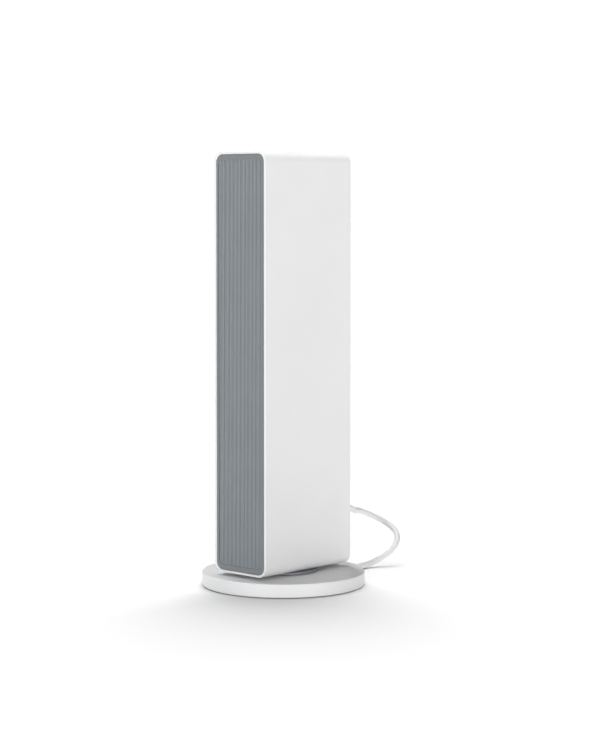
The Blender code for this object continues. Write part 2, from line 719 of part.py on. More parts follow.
def swivel_drive():
    """The gear motor that swings the tower, its bracket and its pinion on the fixed sun gear."""
    motor_low, motor_high = MOTOR_Z, MOTOR_Z + SWIVEL_MOTOR_H
    r = SWIVEL_MOTOR_R
    bore = 2.0 * MM + PLAY
    seat = motor_low + 5 * MM
    profile = [(0, seat), (bore, seat), (bore, motor_low), (r, motor_low), (r, motor_high), (0, motor_high)]
    body = turned(profile, ROUND, closed=False)
    finish("swivel_motor", body, STEEL, swivel, (*PINION_AT, 0), smooth=35)
    half = SWIVEL_MOTOR_R + 4.5 * MM
    foot = FLOOR_Z + GAP
    turn_in = 6 * MM
    channel = [
        (-half, foot), (-half + turn_in, foot), (-half + turn_in, foot + BRACKET_T),
        (-half + BRACKET_T, foot + BRACKET_T), (-half + BRACKET_T, BRACKET_Z), (half - BRACKET_T, BRACKET_Z),
        (half - BRACKET_T, foot + BRACKET_T), (half - turn_in, foot + BRACKET_T), (half - turn_in, foot),
        (half, foot), (half, BRACKET_Z + BRACKET_T), (-half, BRACKET_Z + BRACKET_T),
    ]
    front = PINION_AT[1] - 20 * MM
    bracket = finish("swivel_bracket", prism(channel, front, -POST_R - 2 * MM, axis="Y"), STEEL, swivel)
    hole = cylinder(4.0 * MM, BRACKET_Z - MM, MOTOR_Z, PINION_AT, 24)
    boolean(bracket, cutter("swivel_bracket_hole", hole, swivel))
    outline = gear_outline(PINION_TEETH, GEAR_MODULE, math.pi / 2 + math.pi / PINION_TEETH)
    gear = finish("pinion", prism(outline, GEAR_Z, GEAR_TOP), NYLON, pinion_axis)
    shaft = cylinder(2.0 * MM, GEAR_Z + MM, MOTOR_Z + 4 * MM)
    boolean(gear, cutter("pinion_shaft", shaft, pinion_axis), "UNION")


def impeller():
    """Crossflow rotor: long curved blades through a stack of discs, with a hub at each end."""
    height = FAN_HIGH - FAN_LOW
    hub_bore = SHAFT_R + GAP
    blades = []
    for i in range(FAN_BLADES):
        a = 2 * math.pi * i / FAN_BLADES
        line = []
        for step in range(3):
            share = step / 2
            r = FAN_R - 0.6 * MM - FAN_BLADE_DEPTH * share
            turn = a + 0.16 * share + 0.10 * math.sin(math.pi * share)
            line.append((r * math.cos(turn), r * math.sin(turn)))
        blades.append(prism(thick_line(line, FAN_BLADE_T), FAN_LOW + 0.5 * MM, FAN_HIGH - 0.5 * MM))
    rotor = finish("impeller", merged(blades), GREY, impeller_axis, smooth=35)
    inner = FAN_R - FAN_BLADE_DEPTH - 2.4 * MM
    for i in range(FAN_DISCS):
        low = FAN_LOW + (height - FAN_DISC_T) * i / (FAN_DISCS - 1)
        high = low + FAN_DISC_T
        if i in (0, FAN_DISCS - 1):
            hub = (high + 12 * MM) if i == 0 else (low - 12 * MM)
            near, far = (low, high) if i == 0 else (high, low)
            ring = [(hub_bore, near), (FAN_R, near), (FAN_R, far), (hub_bore + 3 * MM, far)]
            ring += [(hub_bore + 3 * MM, hub), (hub_bore, hub)]
        else:
            ring = [(inner, low), (FAN_R, low), (FAN_R, high), (inner, high)]
        disc = cutter(f"impeller_disc_{i + 1}", turned(ring, 36), impeller_axis)
        boolean(rotor, disc, "UNION")
    top = DECK_Z - GAP
    finish("drive_shaft", cylinder(SHAFT_R, top - 13 * MM, FAN_LOW + 13 * MM), STEEL, impeller_axis)
    finish("top_axle", cylinder(SHAFT_R, FAN_HIGH - 13 * MM, UPPER_DECK + DECK_T), STEEL, impeller_axis)


def scroll_line():
    """The guide wall's middle line: from the filter seat round the rotor's right side to the outlet."""
    edge = FILL_W / 2 - DUCT_T / 2 - 0.2 * MM
    points = [(edge, SEAT_Y - GAP), (edge, SEAT_Y - 3 * MM)]
    start, end, steps = 30.0, -38.0, 7
    for i in range(steps + 1):
        share = i / steps
        a = math.radians(start + (end - start) * share)
        gap = SCROLL_START_GAP + (SCROLL_END_GAP - SCROLL_START_GAP) * share
        r = FAN_R + gap + DUCT_T / 2
        points.append((FAN_X + r * math.cos(a), FAN_Y + r * math.sin(a)))
    points = [(min(x, edge), y) for x, y in points]
    points.append((edge, FRONT + GRILLE_T + 3 * MM))
    return points


def tongue_line():
    """The cut-off on the rotor's left: along the casing, in to the rotor, then out to the outlet."""
    edge = -(FILL_W / 2 - DUCT_T / 2 - 0.2 * MM)
    near = FAN_X - FAN_R - 1.4 * MM - DUCT_T / 2
    return [
        (edge, SEAT_Y - GAP), (edge, FAN_Y + 14 * MM), (max(near, edge), FAN_Y + 4 * MM),
        (max(near, edge), FAN_Y - 4 * MM), (edge, FAN_Y - 16 * MM), (edge, FRONT + GRILLE_T + 3 * MM),
    ]


def duct():
    for name, line in (("scroll_wall", scroll_line()), ("air_tongue", tongue_line())):
        outline = thick_line(line, DUCT_T)
        finish(name, prism(outline, DUCT_LOW, DUCT_HIGH), CREAM, swivel, smooth=30)
    middle = (DUCT_LOW + DUCT_HIGH) / 2
    high = DUCT_HIGH - DUCT_LOW
    outer = rounded_rect(FILL_W, high, 3 * MM, (0, middle), 3)
    inner = rounded_rect(FILL_W - 2 * SEAT_LIP, high - 4 * SEAT_LIP, 3 * MM, (0, middle), 3)
    seat = tube_prism(outer, inner, SEAT_Y, SEAT_Y + SEAT_T, axis="Y")
    finish("filter_seat", seat, CREAM, swivel)


# ---- filter
def filter_parts():
    middle = (FILTER_LOW + FILTER_HIGH) / 2
    high = FILTER_HIGH - FILTER_LOW
    outer = rounded_rect(FILTER_W, high, 2 * MM, (0, middle), 3)
    inner = rounded_rect(FILTER_W - 2 * FILTER_WALL, high - 2 * FILTER_WALL, 1.2 * MM, (0, middle), 3)
    frame = tube_prism(outer, inner, FILTER_Y, FILTER_BACK, axis="Y")
    finish("filter_frame", frame, WHITE, swivel)
    lip = rounded_rect(FILTER_W - 2 * SEAT_LIP, high - 3 * SEAT_LIP, 2 * MM, (0, middle), 3)
    gasket = tube_prism(outer, lip, GASKET_Y, GASKET_Y + GASKET_T, axis="Y")
    finish("filter_gasket", gasket, FOAM, swivel)
    half = FILTER_W / 2 - FILTER_WALL - GAP - PLEAT_T
    near = FILTER_Y + 1.5 * MM
    far = FILTER_BACK - CARBON_T - 2.5 * MM
    line = []
    for i in range(2 * PLEATS + 1):
        x = -half + 2 * half * i / (2 * PLEATS)
        line.append((x, near if i % 2 == 0 else far))
    low, top = FILTER_LOW + FILTER_WALL + GAP, FILTER_HIGH - FILTER_WALL - GAP
    finish("pleated_medium", prism(zigzag(line, PLEAT_T), low, top), PAPER, swivel)
    wide = FILTER_W - 2 * FILTER_WALL - 4 * GAP
    sheet = block((-wide / 2, FILTER_BACK - CARBON_T - 0.6 * MM, low), (wide / 2, FILTER_BACK - 0.6 * MM, top))
    finish("carbon_sheet", sheet, CARBON, swivel)
    tab_y = FILTER_BACK + GAP
    tab = [(-7 * MM, tab_y), (7 * MM, tab_y), (7 * MM, tab_y + 1.0 * MM), (-7 * MM, tab_y + 1.0 * MM)]
    finish("filter_pull_tab", prism(tab, top - 34 * MM, top - 2 * MM), DARK, swivel)


def zigzag(line, thickness):
    """A folded sheet's outline: its middle line moved to either side along the depth of the folds."""
    shift = thickness * 0.75
    upper = [(x, y + shift) for x, y in line]
    lower = [(x, y - shift) for x, y in line]
    return upper + lower[::-1]


# ---- covers
def rear_cover():
    """The inlet cover: a slotted plate with a rim that enters the sleeve, pulled straight off backwards."""
    middle = (COVER_LOW + COVER_HIGH) / 2
    high = COVER_HIGH - COVER_LOW
    round_top = INNER_CORNER - GAP
    radii = (round_top, round_top, 1.5 * MM, 1.5 * MM)
    outline = rounded_rect(FILL_W, high, 0, (0, middle), 4, radii)
    made = finish("rear_cover", prism(outline, COVER_Y, BACK, axis="Y"), WHITE, swivel)
    rim_out = rounded_rect(FILL_W - 0.6 * MM, high - 0.6 * MM, 0, (0, middle), 4, [r * 0.9 for r in radii])
    wide = FILL_W - 0.6 * MM - 2 * COVER_RIM_T
    tall = high - 0.6 * MM - 2 * COVER_RIM_T
    rim_in = rounded_rect(wide, tall, 0, (0, middle), 4, [r * 0.75 for r in radii])
    rim = tube_prism(rim_out, rim_in, COVER_Y - COVER_RIM_D, COVER_Y + 0.8 * MM, axis="Y")
    boolean(made, cutter("rear_cover_rim", rim, swivel), "UNION")
    slots = []
    count = int((FILTER_HIGH - FILTER_LOW - SLOT_MARGIN) / SLOT_PITCH)
    for i in range(count):
        z = (FILTER_LOW + FILTER_HIGH) / 2 + (i - (count - 1) / 2) * SLOT_PITCH
        slots.append(block((-SLOT_W / 2, COVER_Y - MM, z - SLOT_H / 2), (SLOT_W / 2, BACK + MM, z + SLOT_H / 2)))
    boolean(made, cutter("rear_cover_slots", merged(slots), swivel))
    grip = y_cylinder(9 * MM, COVER_Y + 1.2 * MM, BACK + MM, (0, COVER_HIGH - 8 * MM), 24)
    boolean(made, cutter("rear_cover_grip", grip, swivel))
    return made


def rear_panel():
    """The fixed lower back, with the gland for the mains lead."""
    middle = (PANEL_LOW + PANEL_HIGH) / 2
    round_low = INNER_CORNER - GAP
    radii = (1.5 * MM, 1.5 * MM, round_low, round_low)
    outline = rounded_rect(FILL_W, PANEL_HIGH - PANEL_LOW, 0, (0, middle), 4, radii)
    made = finish("rear_panel", prism(outline, COVER_Y, BACK, axis="Y"), WHITE, swivel)
    holes = [y_cylinder(GLAND_R + GAP, COVER_Y - MM, BACK + MM, (0, CORD_EXIT_Z), 24)]
    for x, z in panel_screw_spots():
        holes.append(y_cylinder(1.6 * MM, COVER_Y - MM, BACK + MM, (x, z)))
        holes.append(y_cylinder(3.1 * MM, BACK - 1.2 * MM, BACK + MM, (x, z)))
    boolean(made, cutter("rear_panel_holes", merged(holes), swivel))
    turn = Matrix.Rotation(math.radians(90), 4, "X")
    for i, (x, z) in enumerate(panel_screw_spots()):
        profile = [(0, 1.1 * MM), (2.8 * MM, 1.1 * MM), (2.8 * MM, 0), (1.3 * MM, 0), (1.3 * MM, -7 * MM)]
        profile += [(0, -7 * MM)]
        bm = rotated(turned([(r, -h) for r, h in profile], 12, closed=False), turn)
        finish(f"panel_screw_{i + 1}", bm, STEEL, swivel, (x, BACK - 1.2 * MM + GAP, z), smooth=40)
    return made


def panel_screw_spots():
    side = FILL_W / 2 - 7 * MM
    return [(-side, PANEL_HIGH - 8 * MM), (side, PANEL_HIGH - 8 * MM)]


def cord_outlet():
    """The gland ring in the rear panel and the tapered boot that droops with the lead."""
    low, high = COVER_Y - 2.5 * MM, BACK + 1.5 * MM
    outer = circle(GLAND_R, 24, (0, CORD_EXIT_Z))
    inner = circle(GLAND_BORE_R, 24, (0, CORD_EXIT_Z))
    finish("cord_gland", tube_prism(outer, inner, low, high, axis="Y"), DARK, swivel)
    start = COVER_Y - 5 * MM - BACK
    profile = [(0, start), (BOOT_ROOT_R, start), (BOOT_ROOT_R, 5 * MM), (BOOT_TIP_R, BOOT_LENGTH - 0.6 * MM)]
    profile += [(BOOT_TIP_R - 0.6 * MM, BOOT_LENGTH), (0, BOOT_LENGTH)]
    turn = Matrix.Rotation(math.radians(-90), 4, "X")
    droop = Matrix.Rotation(-CORD_DROOP, 4, "X")
    bm = rotated(turned(profile, 16, closed=False), droop @ turn)
    finish("strain_relief", bm, LEAD, swivel, (0, BACK, CORD_EXIT_Z), smooth=40)


def front_grille():
    """The outlet grille: a border with fine upright bars, all one moulding."""
    low, high = FLOOR_Z + GAP, CEILING_Z - GAP
    middle = (low + high) / 2
    outer = rounded_rect(FILL_W, high - low, GRILLE_CORNER - GAP, (0, middle), 6)
    wide, tall = FILL_W - 2 * GRILLE_SIDE, high - low - 2 * GRILLE_BORDER
    inner = rounded_rect(wide, tall, 5.0 * MM, (0, middle), 6)
    y0, y1 = FRONT + 0.4 * MM, FRONT + 0.4 * MM + GRILLE_T
    made = finish("front_grille", tube_prism(outer, inner, y0, y1, axis="Y"), GREY, swivel, smooth=35)
    bars = []
    count = int(wide / GRILLE_PITCH)
    for i in range(count):
        x = (i - (count - 1) / 2) * GRILLE_PITCH
        bars.append(block((x - GRILLE_BAR / 2, y0 + GRILLE_BAR_SINK, middle - tall / 2 - 1.5 * MM),
                          (x + GRILLE_BAR / 2, y1 - GRILLE_BAR_SINK, middle + tall / 2 + 1.5 * MM)))
    boolean(made, cutter("front_grille_bars", merged(bars), swivel), "UNION")
    return made


# ---- controls
def control_panel():
    outline = rounded_rect(PANEL_W - 2 * GAP, PANEL_D - 2 * GAP, PANEL_CORNER - GAP)
    top = BODY_TOP - 0.2 * MM
    panel = finish("control_panel", prism(outline, top - PANEL_T, top), DARK, swivel)
    holes = [cylinder(BUTTON_R + GAP, top - 5 * MM, top + 5 * MM, (0, y), 24) for y in button_spots()]
    low, high = lens_box()
    window = ((low[0] - GAP, low[1] - GAP, top - 5 * MM), (high[0] + GAP, high[1] + GAP, top + 5 * MM))
    holes.append(block(*window))
    boolean(panel, cutter("control_panel_holes", merged(holes), swivel))
    finish("display_lens", block(low, high), LENS, swivel)


def lens_box():
    top = BODY_TOP - 0.2 * MM
    y = button_spots()[-1] + BUTTON_PITCH * 0.62
    return (-13 * MM, y, top - PANEL_T), (13 * MM, y + 9 * MM, top - 0.1 * MM)


def button_spots():
    """From the front: swing, speed, power."""
    return [-24 * MM + BUTTON_PITCH * i for i in range(3)]


def buttons():
    board_top = CONTROL_BOARD_Z + 1.6 * MM
    for name, y in zip(("swing", "speed", "power"), button_spots()):
        low = BUTTON_TOP - BUTTON_H
        profile = [(0, low), (BUTTON_R - PLAY * 0.4, low), (BUTTON_R - PLAY * 0.4, BUTTON_TOP - 0.8 * MM)]
        profile += [(BUTTON_R - 1.0 * MM, BUTTON_TOP), (0, BUTTON_TOP - 0.3 * MM)]
        finish(f"{name}_button", turned(profile, 24, closed=False), WHITE, swivel, (0, y, 0), smooth=35)
        high = low - 1.2 * MM
        case = block((-3 * MM, y - 3 * MM, board_top + GAP), (3 * MM, y + 3 * MM, high))
        finish(f"{name}_switch", case, DARK, swivel)


def boards():
    thick = 1.6 * MM
    long = PANEL_D + 6 * MM
    outline = rounded_rect(FILL_W - 14 * MM, long, 2 * MM, (0, -1 * MM), 2)
    finish("control_board", prism(outline, CONTROL_BOARD_Z, CONTROL_BOARD_Z + thick), BOARD, swivel)
    y = 20 * MM
    high = DECK_Z - 8 * MM
    board = block((-26 * MM, y, POST_TOP + 4 * MM), (26 * MM, y + thick, high))
    finish("power_board", board, BOARD, swivel)


base_cover()
base_plate()
feet()
base_post()
base_screws()
thrust_washer()
post_retainer()
sun_gear()
lead()
plug()
sleeve()
turntable()
turntable_screws()
decks()
upper_bush()
fan_motor()
swivel_drive()
impeller()
duct()
filter_parts()
rear_cover()
rear_panel()
cord_outlet()
front_grille()
control_panel()
buttons()
boards()
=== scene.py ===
# %% [markdown]
# # A slim tower air purifier on a round base
# The object is a tall white casing, open in front and behind, that stands on a round
# turntable base. A grey grille closes the front, a slotted cover closes the back, and a
# mains lead comes out low down at the rear.
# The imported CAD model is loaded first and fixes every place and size. Pieces whose CAD
# shape is too plain for a close look are replaced by finer ones, and the CAD pieces that
# stay get a proper finish. The alternative, modelling by eye, would drift away from the
# CAD joints, so every piece here starts from a CAD box.

import math

import bmesh
import bpy
from mathutils import Matrix, Vector, noise


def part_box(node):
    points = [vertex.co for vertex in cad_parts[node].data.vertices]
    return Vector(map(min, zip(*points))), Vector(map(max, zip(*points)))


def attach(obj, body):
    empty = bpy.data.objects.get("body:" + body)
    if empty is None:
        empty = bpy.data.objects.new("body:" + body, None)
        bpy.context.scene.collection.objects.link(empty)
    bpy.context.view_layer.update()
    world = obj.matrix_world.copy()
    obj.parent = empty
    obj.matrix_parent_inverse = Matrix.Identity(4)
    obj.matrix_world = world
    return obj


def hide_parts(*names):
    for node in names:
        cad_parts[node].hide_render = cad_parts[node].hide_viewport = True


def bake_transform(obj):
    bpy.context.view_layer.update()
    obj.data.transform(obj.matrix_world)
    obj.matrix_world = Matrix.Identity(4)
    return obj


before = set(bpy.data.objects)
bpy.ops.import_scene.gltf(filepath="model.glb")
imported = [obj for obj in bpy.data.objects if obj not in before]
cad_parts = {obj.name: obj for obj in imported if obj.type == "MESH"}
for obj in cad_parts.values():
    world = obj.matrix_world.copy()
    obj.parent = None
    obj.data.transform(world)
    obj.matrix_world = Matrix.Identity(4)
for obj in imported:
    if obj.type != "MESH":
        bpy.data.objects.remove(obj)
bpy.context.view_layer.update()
MM = 0.001

# %% [markdown]
# ## Camera
# The view is that of somebody standing in front of the tower and a little to its right:
# the grille is seen at an angle, and the right side of the casing takes up most of the
# width. A long lens keeps the upright edges nearly parallel. The small shift puts the
# tower slightly above the middle without tilting the camera, which would make the
# upright edges converge.

# %% Camera
camera_data = bpy.data.cameras.new("camera")
camera_data.lens = 100.69
camera_data.sensor_width = 36.0
camera_data.shift_y = -0.0974
camera = bpy.data.objects.new("camera", camera_data)
camera.location = (1.4394, -1.5176, 0.3799)
camera.rotation_euler = (math.radians(90 - 2.644), 0.0, math.radians(43.029))
bpy.context.scene.collection.objects.link(camera)
bpy.context.scene.camera = camera
print("camera distance in m:", round(camera.location.length, 3))

# %% [markdown]
# ## Building helpers
# Three of these tools serve nearly every piece. `node` adds one node to a tree and fills its
# sockets, so that a tree reads as a list of steps. `baked` turns an object with its
# modifiers into a plain mesh, because the finished pieces carry no live node trees.
# `grown` runs a Geometry Nodes tree on a new object, giving each named input its value by
# the socket's identifier, and bakes it.

# %% Helpers for nodes and meshes
def node(tree, kind, inputs=None, **settings):
    """One node of a tree; an input is a plain value or another node's output socket."""
    made = tree.nodes.new(kind)
    for key, value in settings.items():
        setattr(made, key, value)
    for key, value in (inputs or {}).items():
        if isinstance(value, bpy.types.NodeSocket):
            tree.links.new(value, made.inputs[key])
        else:
            made.inputs[key].default_value = value
    return made


def linked(name, mesh):
    made = bpy.data.objects.new(name, mesh)
    bpy.context.scene.collection.objects.link(made)
    return made


def baked(piece):
    """The piece with its modifiers made into its mesh."""
    bpy.context.view_layer.update()
    graph = bpy.context.evaluated_depsgraph_get()
    whole = piece.evaluated_get(graph)
    mesh = bpy.data.meshes.new_from_object(whole, preserve_all_data_layers=True, depsgraph=graph)
    piece.modifiers.clear()
    piece.data = mesh
    mesh.name = piece.name
    return piece


def from_bmesh(name, bm, look=None):
    bmesh.ops.recalc_face_normals(bm, faces=bm.faces)
    mesh = bpy.data.meshes.new(name)
    bm.to_mesh(mesh)
    bm.free()
    made = linked(name, mesh)
    if look:
        mesh.materials.append(look)
    return made


def grown(name, tree, values, mesh=None):
    """Runs a node tree on a new object and keeps the result as a plain mesh."""
    made = linked(name, mesh or bpy.data.meshes.new(name))
    step = made.modifiers.new("nodes", "NODES")
    step.node_group = tree
    for item in tree.interface.items_tree:
        if item.item_type == "SOCKET" and item.in_out == "INPUT" and item.name in values:
            step[item.identifier] = values[item.name]
    return baked(made)


def softened(piece, width, segments=3, angle=35.0):
    """Rounds the edges, then weights the normals so that the flat faces stay flat."""
    if width:
        edge = piece.modifiers.new("edge", "BEVEL")
        edge.width = width
        edge.segments = segments
        edge.limit_method = "ANGLE"
        edge.angle_limit = math.radians(angle)
    piece.data.shade_smooth()
    even = piece.modifiers.new("even", "WEIGHTED_NORMAL")
    even.keep_sharp = True
    return baked(piece)


def box_mm(name):
    """The low and high corners of a CAD piece, in millimetres."""
    return [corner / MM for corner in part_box(name)]


def centre_of(name):
    low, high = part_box(name)
    return (low + high) / 2 / MM


def report(piece):
    size = piece.dimensions / MM
    print(f"{piece.name}: {size.x:.1f} x {size.y:.1f} x {size.z:.1f} mm, "
          f"{len(piece.data.polygons)} faces")


# %% [markdown]
# ## Moulded plastic
# Nearly everything that shows is injection-moulded plastic. Its mould was spark-eroded,
# which leaves a fine even grain that breaks up highlights, and a large thin wall is never
# perfectly even in tone. A flat colour would look like paper. One recipe covers them all:
# a slow noise drifts the colour and the roughness a little, a fine noise is the grain, and
# a middling one is the slight waviness of a moulded face. Handling wears the grain, so
# here and there it turns slightly glossier.
# The patterns read Object coordinates, in metres, so a grain has the same size on every
# piece.

# %% The recipe for moulded plastic
def shader_of(name):
    made = bpy.data.materials.new(name)
    made.use_nodes = True
    tree = made.node_tree
    return made, tree, tree.nodes["Principled BSDF"]


def noise_at(tree, size, detail=3.0, stretch=(1.0, 1.0, 1.0), seed=0.0):
    """Noise whose features are about `size` metres, on Object coordinates."""
    place = node(tree, "ShaderNodeTexCoord")
    put = node(tree, "ShaderNodeMapping", {
        "Vector": place.outputs["Object"], "Scale": stretch, "Location": (seed, seed, seed)})
    return node(tree, "ShaderNodeTexNoise", {
        "Vector": put.outputs["Vector"], "Scale": 1.0 / size, "Detail": detail}).outputs["Fac"]


def spread(tree, value, low, high, start=0.3, end=0.7):
    return node(tree, "ShaderNodeMapRange", {
        "Value": value, "From Min": start, "From Max": end, "To Min": low, "To Max": high,
    }).outputs["Result"]


def two_tone(tree, value, dark, light):
    mix = node(tree, "ShaderNodeMix", data_type="RGBA")
    tree.links.new(value, mix.inputs["Factor"])
    mix.inputs[6].default_value = (*dark, 1.0)
    mix.inputs[7].default_value = (*light, 1.0)
    return mix.outputs[2]


def bump(tree, height, depth, under=None):
    """A bump whose full height is `depth` metres, on top of another one."""
    made = node(tree, "ShaderNodeBump", {"Height": height, "Distance": depth, "Strength": 1.0})
    if under:
        tree.links.new(under, made.inputs["Normal"])
    return made.outputs["Normal"]


def dress(tree, shader, colour, rough, normal):
    """Feeds the shader's three main sockets."""
    for socket, value in (("Base Color", colour), ("Roughness", rough), ("Normal", normal)):
        tree.links.new(value, shader.inputs[socket])


def moulded(name, colour, rough, drift=0.03, grain=0.5 * MM, depth=0.012 * MM, wave=0.02 * MM,
            level=0.5):
    made, tree, shader = shader_of(name)
    slow = noise_at(tree, 60 * MM, 2.0)
    patches = noise_at(tree, 14 * MM, 4.0, seed=3.1)
    dark = tuple(c * (1 - drift) for c in colour)
    light = tuple(min(1.0, c * (1 + drift)) for c in colour)
    waves = bump(tree, noise_at(tree, 22 * MM, 1.0, seed=7.7), wave)
    dress(tree, shader, two_tone(tree, spread(tree, slow, 0, 1), dark, light),
          spread(tree, patches, rough - 0.06, rough + 0.05),
          bump(tree, noise_at(tree, grain, 2.0), depth, waves))
    shader.inputs["Specular IOR Level"].default_value = level
    return made


WHITE = moulded("satin_white_shell", (0.80, 0.80, 0.80), 0.46, drift=0.012)
GREY = moulded("satin_grey_grille", (0.268, 0.294, 0.312), 0.50, drift=0.03)
# The border is the same grey plastic as the ribs, painted darker. This painted shade stands in
# for the shade the ribs cast on one another, so the flat border matches their tone.
GREY_PAINTED_SHADE = moulded("satin_grey_border", (0.198, 0.217, 0.230), 0.50, drift=0.03)
ROTOR = moulded("grey_rotor", (0.22, 0.23, 0.25), 0.48)
DARK = moulded("matt_dark_plastic", (0.045, 0.047, 0.052), 0.50, drift=0.10)
INNER = moulded("plain_inner_plastic", (0.50, 0.51, 0.52), 0.55, grain=0.9 * MM)
NYLON = moulded("milky_nylon", (0.72, 0.70, 0.63), 0.42, drift=0.05, level=0.4)
RUBBER = moulded("black_rubber", (0.030, 0.030, 0.032), 0.82, drift=0.2, grain=0.35 * MM,
                 depth=0.03 * MM, level=0.3)
print("moulded finishes:", [
    m.name for m in (WHITE, GREY, GREY_PAINTED_SHADE, ROTOR, DARK, INNER, NYLON, RUBBER)])

# %% [markdown]
# ## Metals
# The post, brackets, shafts and screws are plated or drawn steel: bright, with fine
# scratches that run one way. Stretching a noise along one axis draws those scratches
# without a texture image. The ballast disc is cast iron, rough and dark with brownish
# patches, and the plug's pins are nickel plated.

# %% Metal finishes
def metal(name, dark, light, rough, stretch, size, depth):
    made, tree, shader = shader_of(name)
    lines = noise_at(tree, size, 4.0, stretch)
    dress(tree, shader,
          two_tone(tree, spread(tree, noise_at(tree, 9 * MM), 0, 1), dark, light),
          spread(tree, lines, rough - 0.10, rough + 0.12), bump(tree, lines, depth))
    shader.inputs["Metallic"].default_value = 1.0
    return made


STEEL = metal("drawn_steel", (0.46, 0.47, 0.49), (0.60, 0.61, 0.62), 0.34,
              (1.0, 1.0, 0.06), 0.5 * MM, 0.008 * MM)
IRON = metal("cast_ballast_iron", (0.07, 0.06, 0.055), (0.16, 0.15, 0.145), 0.62,
             (1.0, 1.0, 1.0), 1.1 * MM, 0.08 * MM)
NICKEL = metal("nickel_plating", (0.60, 0.57, 0.50), (0.72, 0.69, 0.62), 0.24,
               (0.1, 1.0, 1.0), 0.4 * MM, 0.004 * MM)
print("metals:", [m.name for m in (STEEL, IRON, NICKEL)])

# %% [markdown]
# ## Filter, board, window and lead
# The odd finishes each need a pattern of their own. Filter paper is matted fibres, so a
# noise is stretched two ways and crossed. Carbon granules and open foam are cells, which
# a Voronoi pattern gives. A circuit board is green lacquer over copper tracks, drawn with
# bricks. The display window is smoked plastic with a high gloss, and the lead's jacket is
# soft PVC whose faint lines run along the lead, so it reads the lead's own UV map.

# %% Filter, board, window and lead finishes
def fibrous(name, dark, light):
    made, tree, shader = shader_of(name)
    one = noise_at(tree, 0.7 * MM, 4.0, (1.0, 0.15, 0.15))
    two = noise_at(tree, 0.7 * MM, 4.0, (0.15, 0.15, 1.0), seed=5.0)
    both = node(tree, "ShaderNodeMath", {0: one, 1: two}, operation="MULTIPLY").outputs[0]
    dress(tree, shader, two_tone(tree, spread(tree, both, 0, 1, 0.15, 0.4), dark, light),
          spread(tree, both, 0.95, 0.82, 0.15, 0.4), bump(tree, both, 0.15 * MM))
    shader.inputs["Sheen Weight"].default_value = 0.25
    return made


def cellular(name, dark, light, size, depth, rough):
    made, tree, shader = shader_of(name)
    place = node(tree, "ShaderNodeTexCoord").outputs["Object"]
    cells = node(tree, "ShaderNodeTexVoronoi", {"Vector": place, "Scale": 1.0 / size})
    far = cells.outputs["Distance"]
    dress(tree, shader, two_tone(tree, spread(tree, far, 0, 1, 0.1, 0.8), light, dark),
          spread(tree, far, rough - 0.1, rough + 0.05, 0.1, 0.8),
          bump(tree, spread(tree, far, 1, 0, 0.0, 0.9), depth))
    return made


def circuit(name):
    made, tree, shader = shader_of(name)
    place = node(tree, "ShaderNodeTexCoord").outputs["Object"]
    tracks = node(tree, "ShaderNodeTexBrick", {
        "Vector": place, "Scale": 220.0, "Mortar Size": 0.035, "Bias": -0.2,
        "Color1": (0.010, 0.10, 0.045, 1), "Color2": (0.014, 0.13, 0.055, 1),
        "Mortar": (0.05, 0.24, 0.08, 1)})
    dress(tree, shader, tracks.outputs["Color"], spread(tree, noise_at(tree, 6 * MM), 0.3, 0.45),
          bump(tree, tracks.outputs["Fac"], 0.05 * MM))
    return made


def smoked(name):
    made, tree, shader = shader_of(name)
    haze = noise_at(tree, 5 * MM, 5.0)
    dress(tree, shader, two_tone(tree, haze, (0.010, 0.011, 0.013), (0.022, 0.023, 0.027)),
          spread(tree, haze, 0.06, 0.16), bump(tree, noise_at(tree, 12 * MM, 1.0), 0.01 * MM))
    shader.inputs["Coat Weight"].default_value = 0.4
    shader.inputs["Coat Roughness"].default_value = 0.05
    return made


def jacket(name, colour):
    made, tree, shader = shader_of(name)
    along = node(tree, "ShaderNodeUVMap", uv_map="along").outputs["UV"]
    put = node(tree, "ShaderNodeMapping", {"Vector": along, "Scale": (46.0, 18.0, 1.0)})
    lines = node(tree, "ShaderNodeTexNoise", {
        "Vector": put.outputs["Vector"], "Scale": 1.0, "Detail": 3.0}).outputs["Fac"]
    slow = noise_at(tree, 30 * MM, 2.0)
    dark = tuple(c * 0.96 for c in colour)
    dress(tree, shader, two_tone(tree, spread(tree, slow, 0, 1), dark, colour),
          spread(tree, lines, 0.46, 0.60), bump(tree, lines, 0.02 * MM))
    return made


PAPER = fibrous("matted_filter_paper", (0.60, 0.60, 0.56), (0.80, 0.80, 0.76))
WOVEN = fibrous("woven_strap", (0.03, 0.03, 0.034), (0.075, 0.076, 0.082))
CARBON = cellular("carbon_granules", (0.006, 0.006, 0.007), (0.05, 0.05, 0.052), 1.6 * MM,
                  0.35 * MM, 0.82)
FOAM = cellular("open_foam", (0.03, 0.03, 0.032), (0.13, 0.13, 0.135), 0.9 * MM, 0.3 * MM, 0.95)
BOARD = circuit("green_circuit_board")
WINDOW = smoked("smoked_window")
JACKET = jacket("soft_lead_jacket", (0.82, 0.82, 0.82))
PLUG_SKIN = moulded("soft_plug_moulding", (0.79, 0.79, 0.79), 0.52, drift=0.03)
print("other finishes:", [m.name for m in (PAPER, WOVEN, CARBON, FOAM, BOARD, WINDOW, JACKET)])
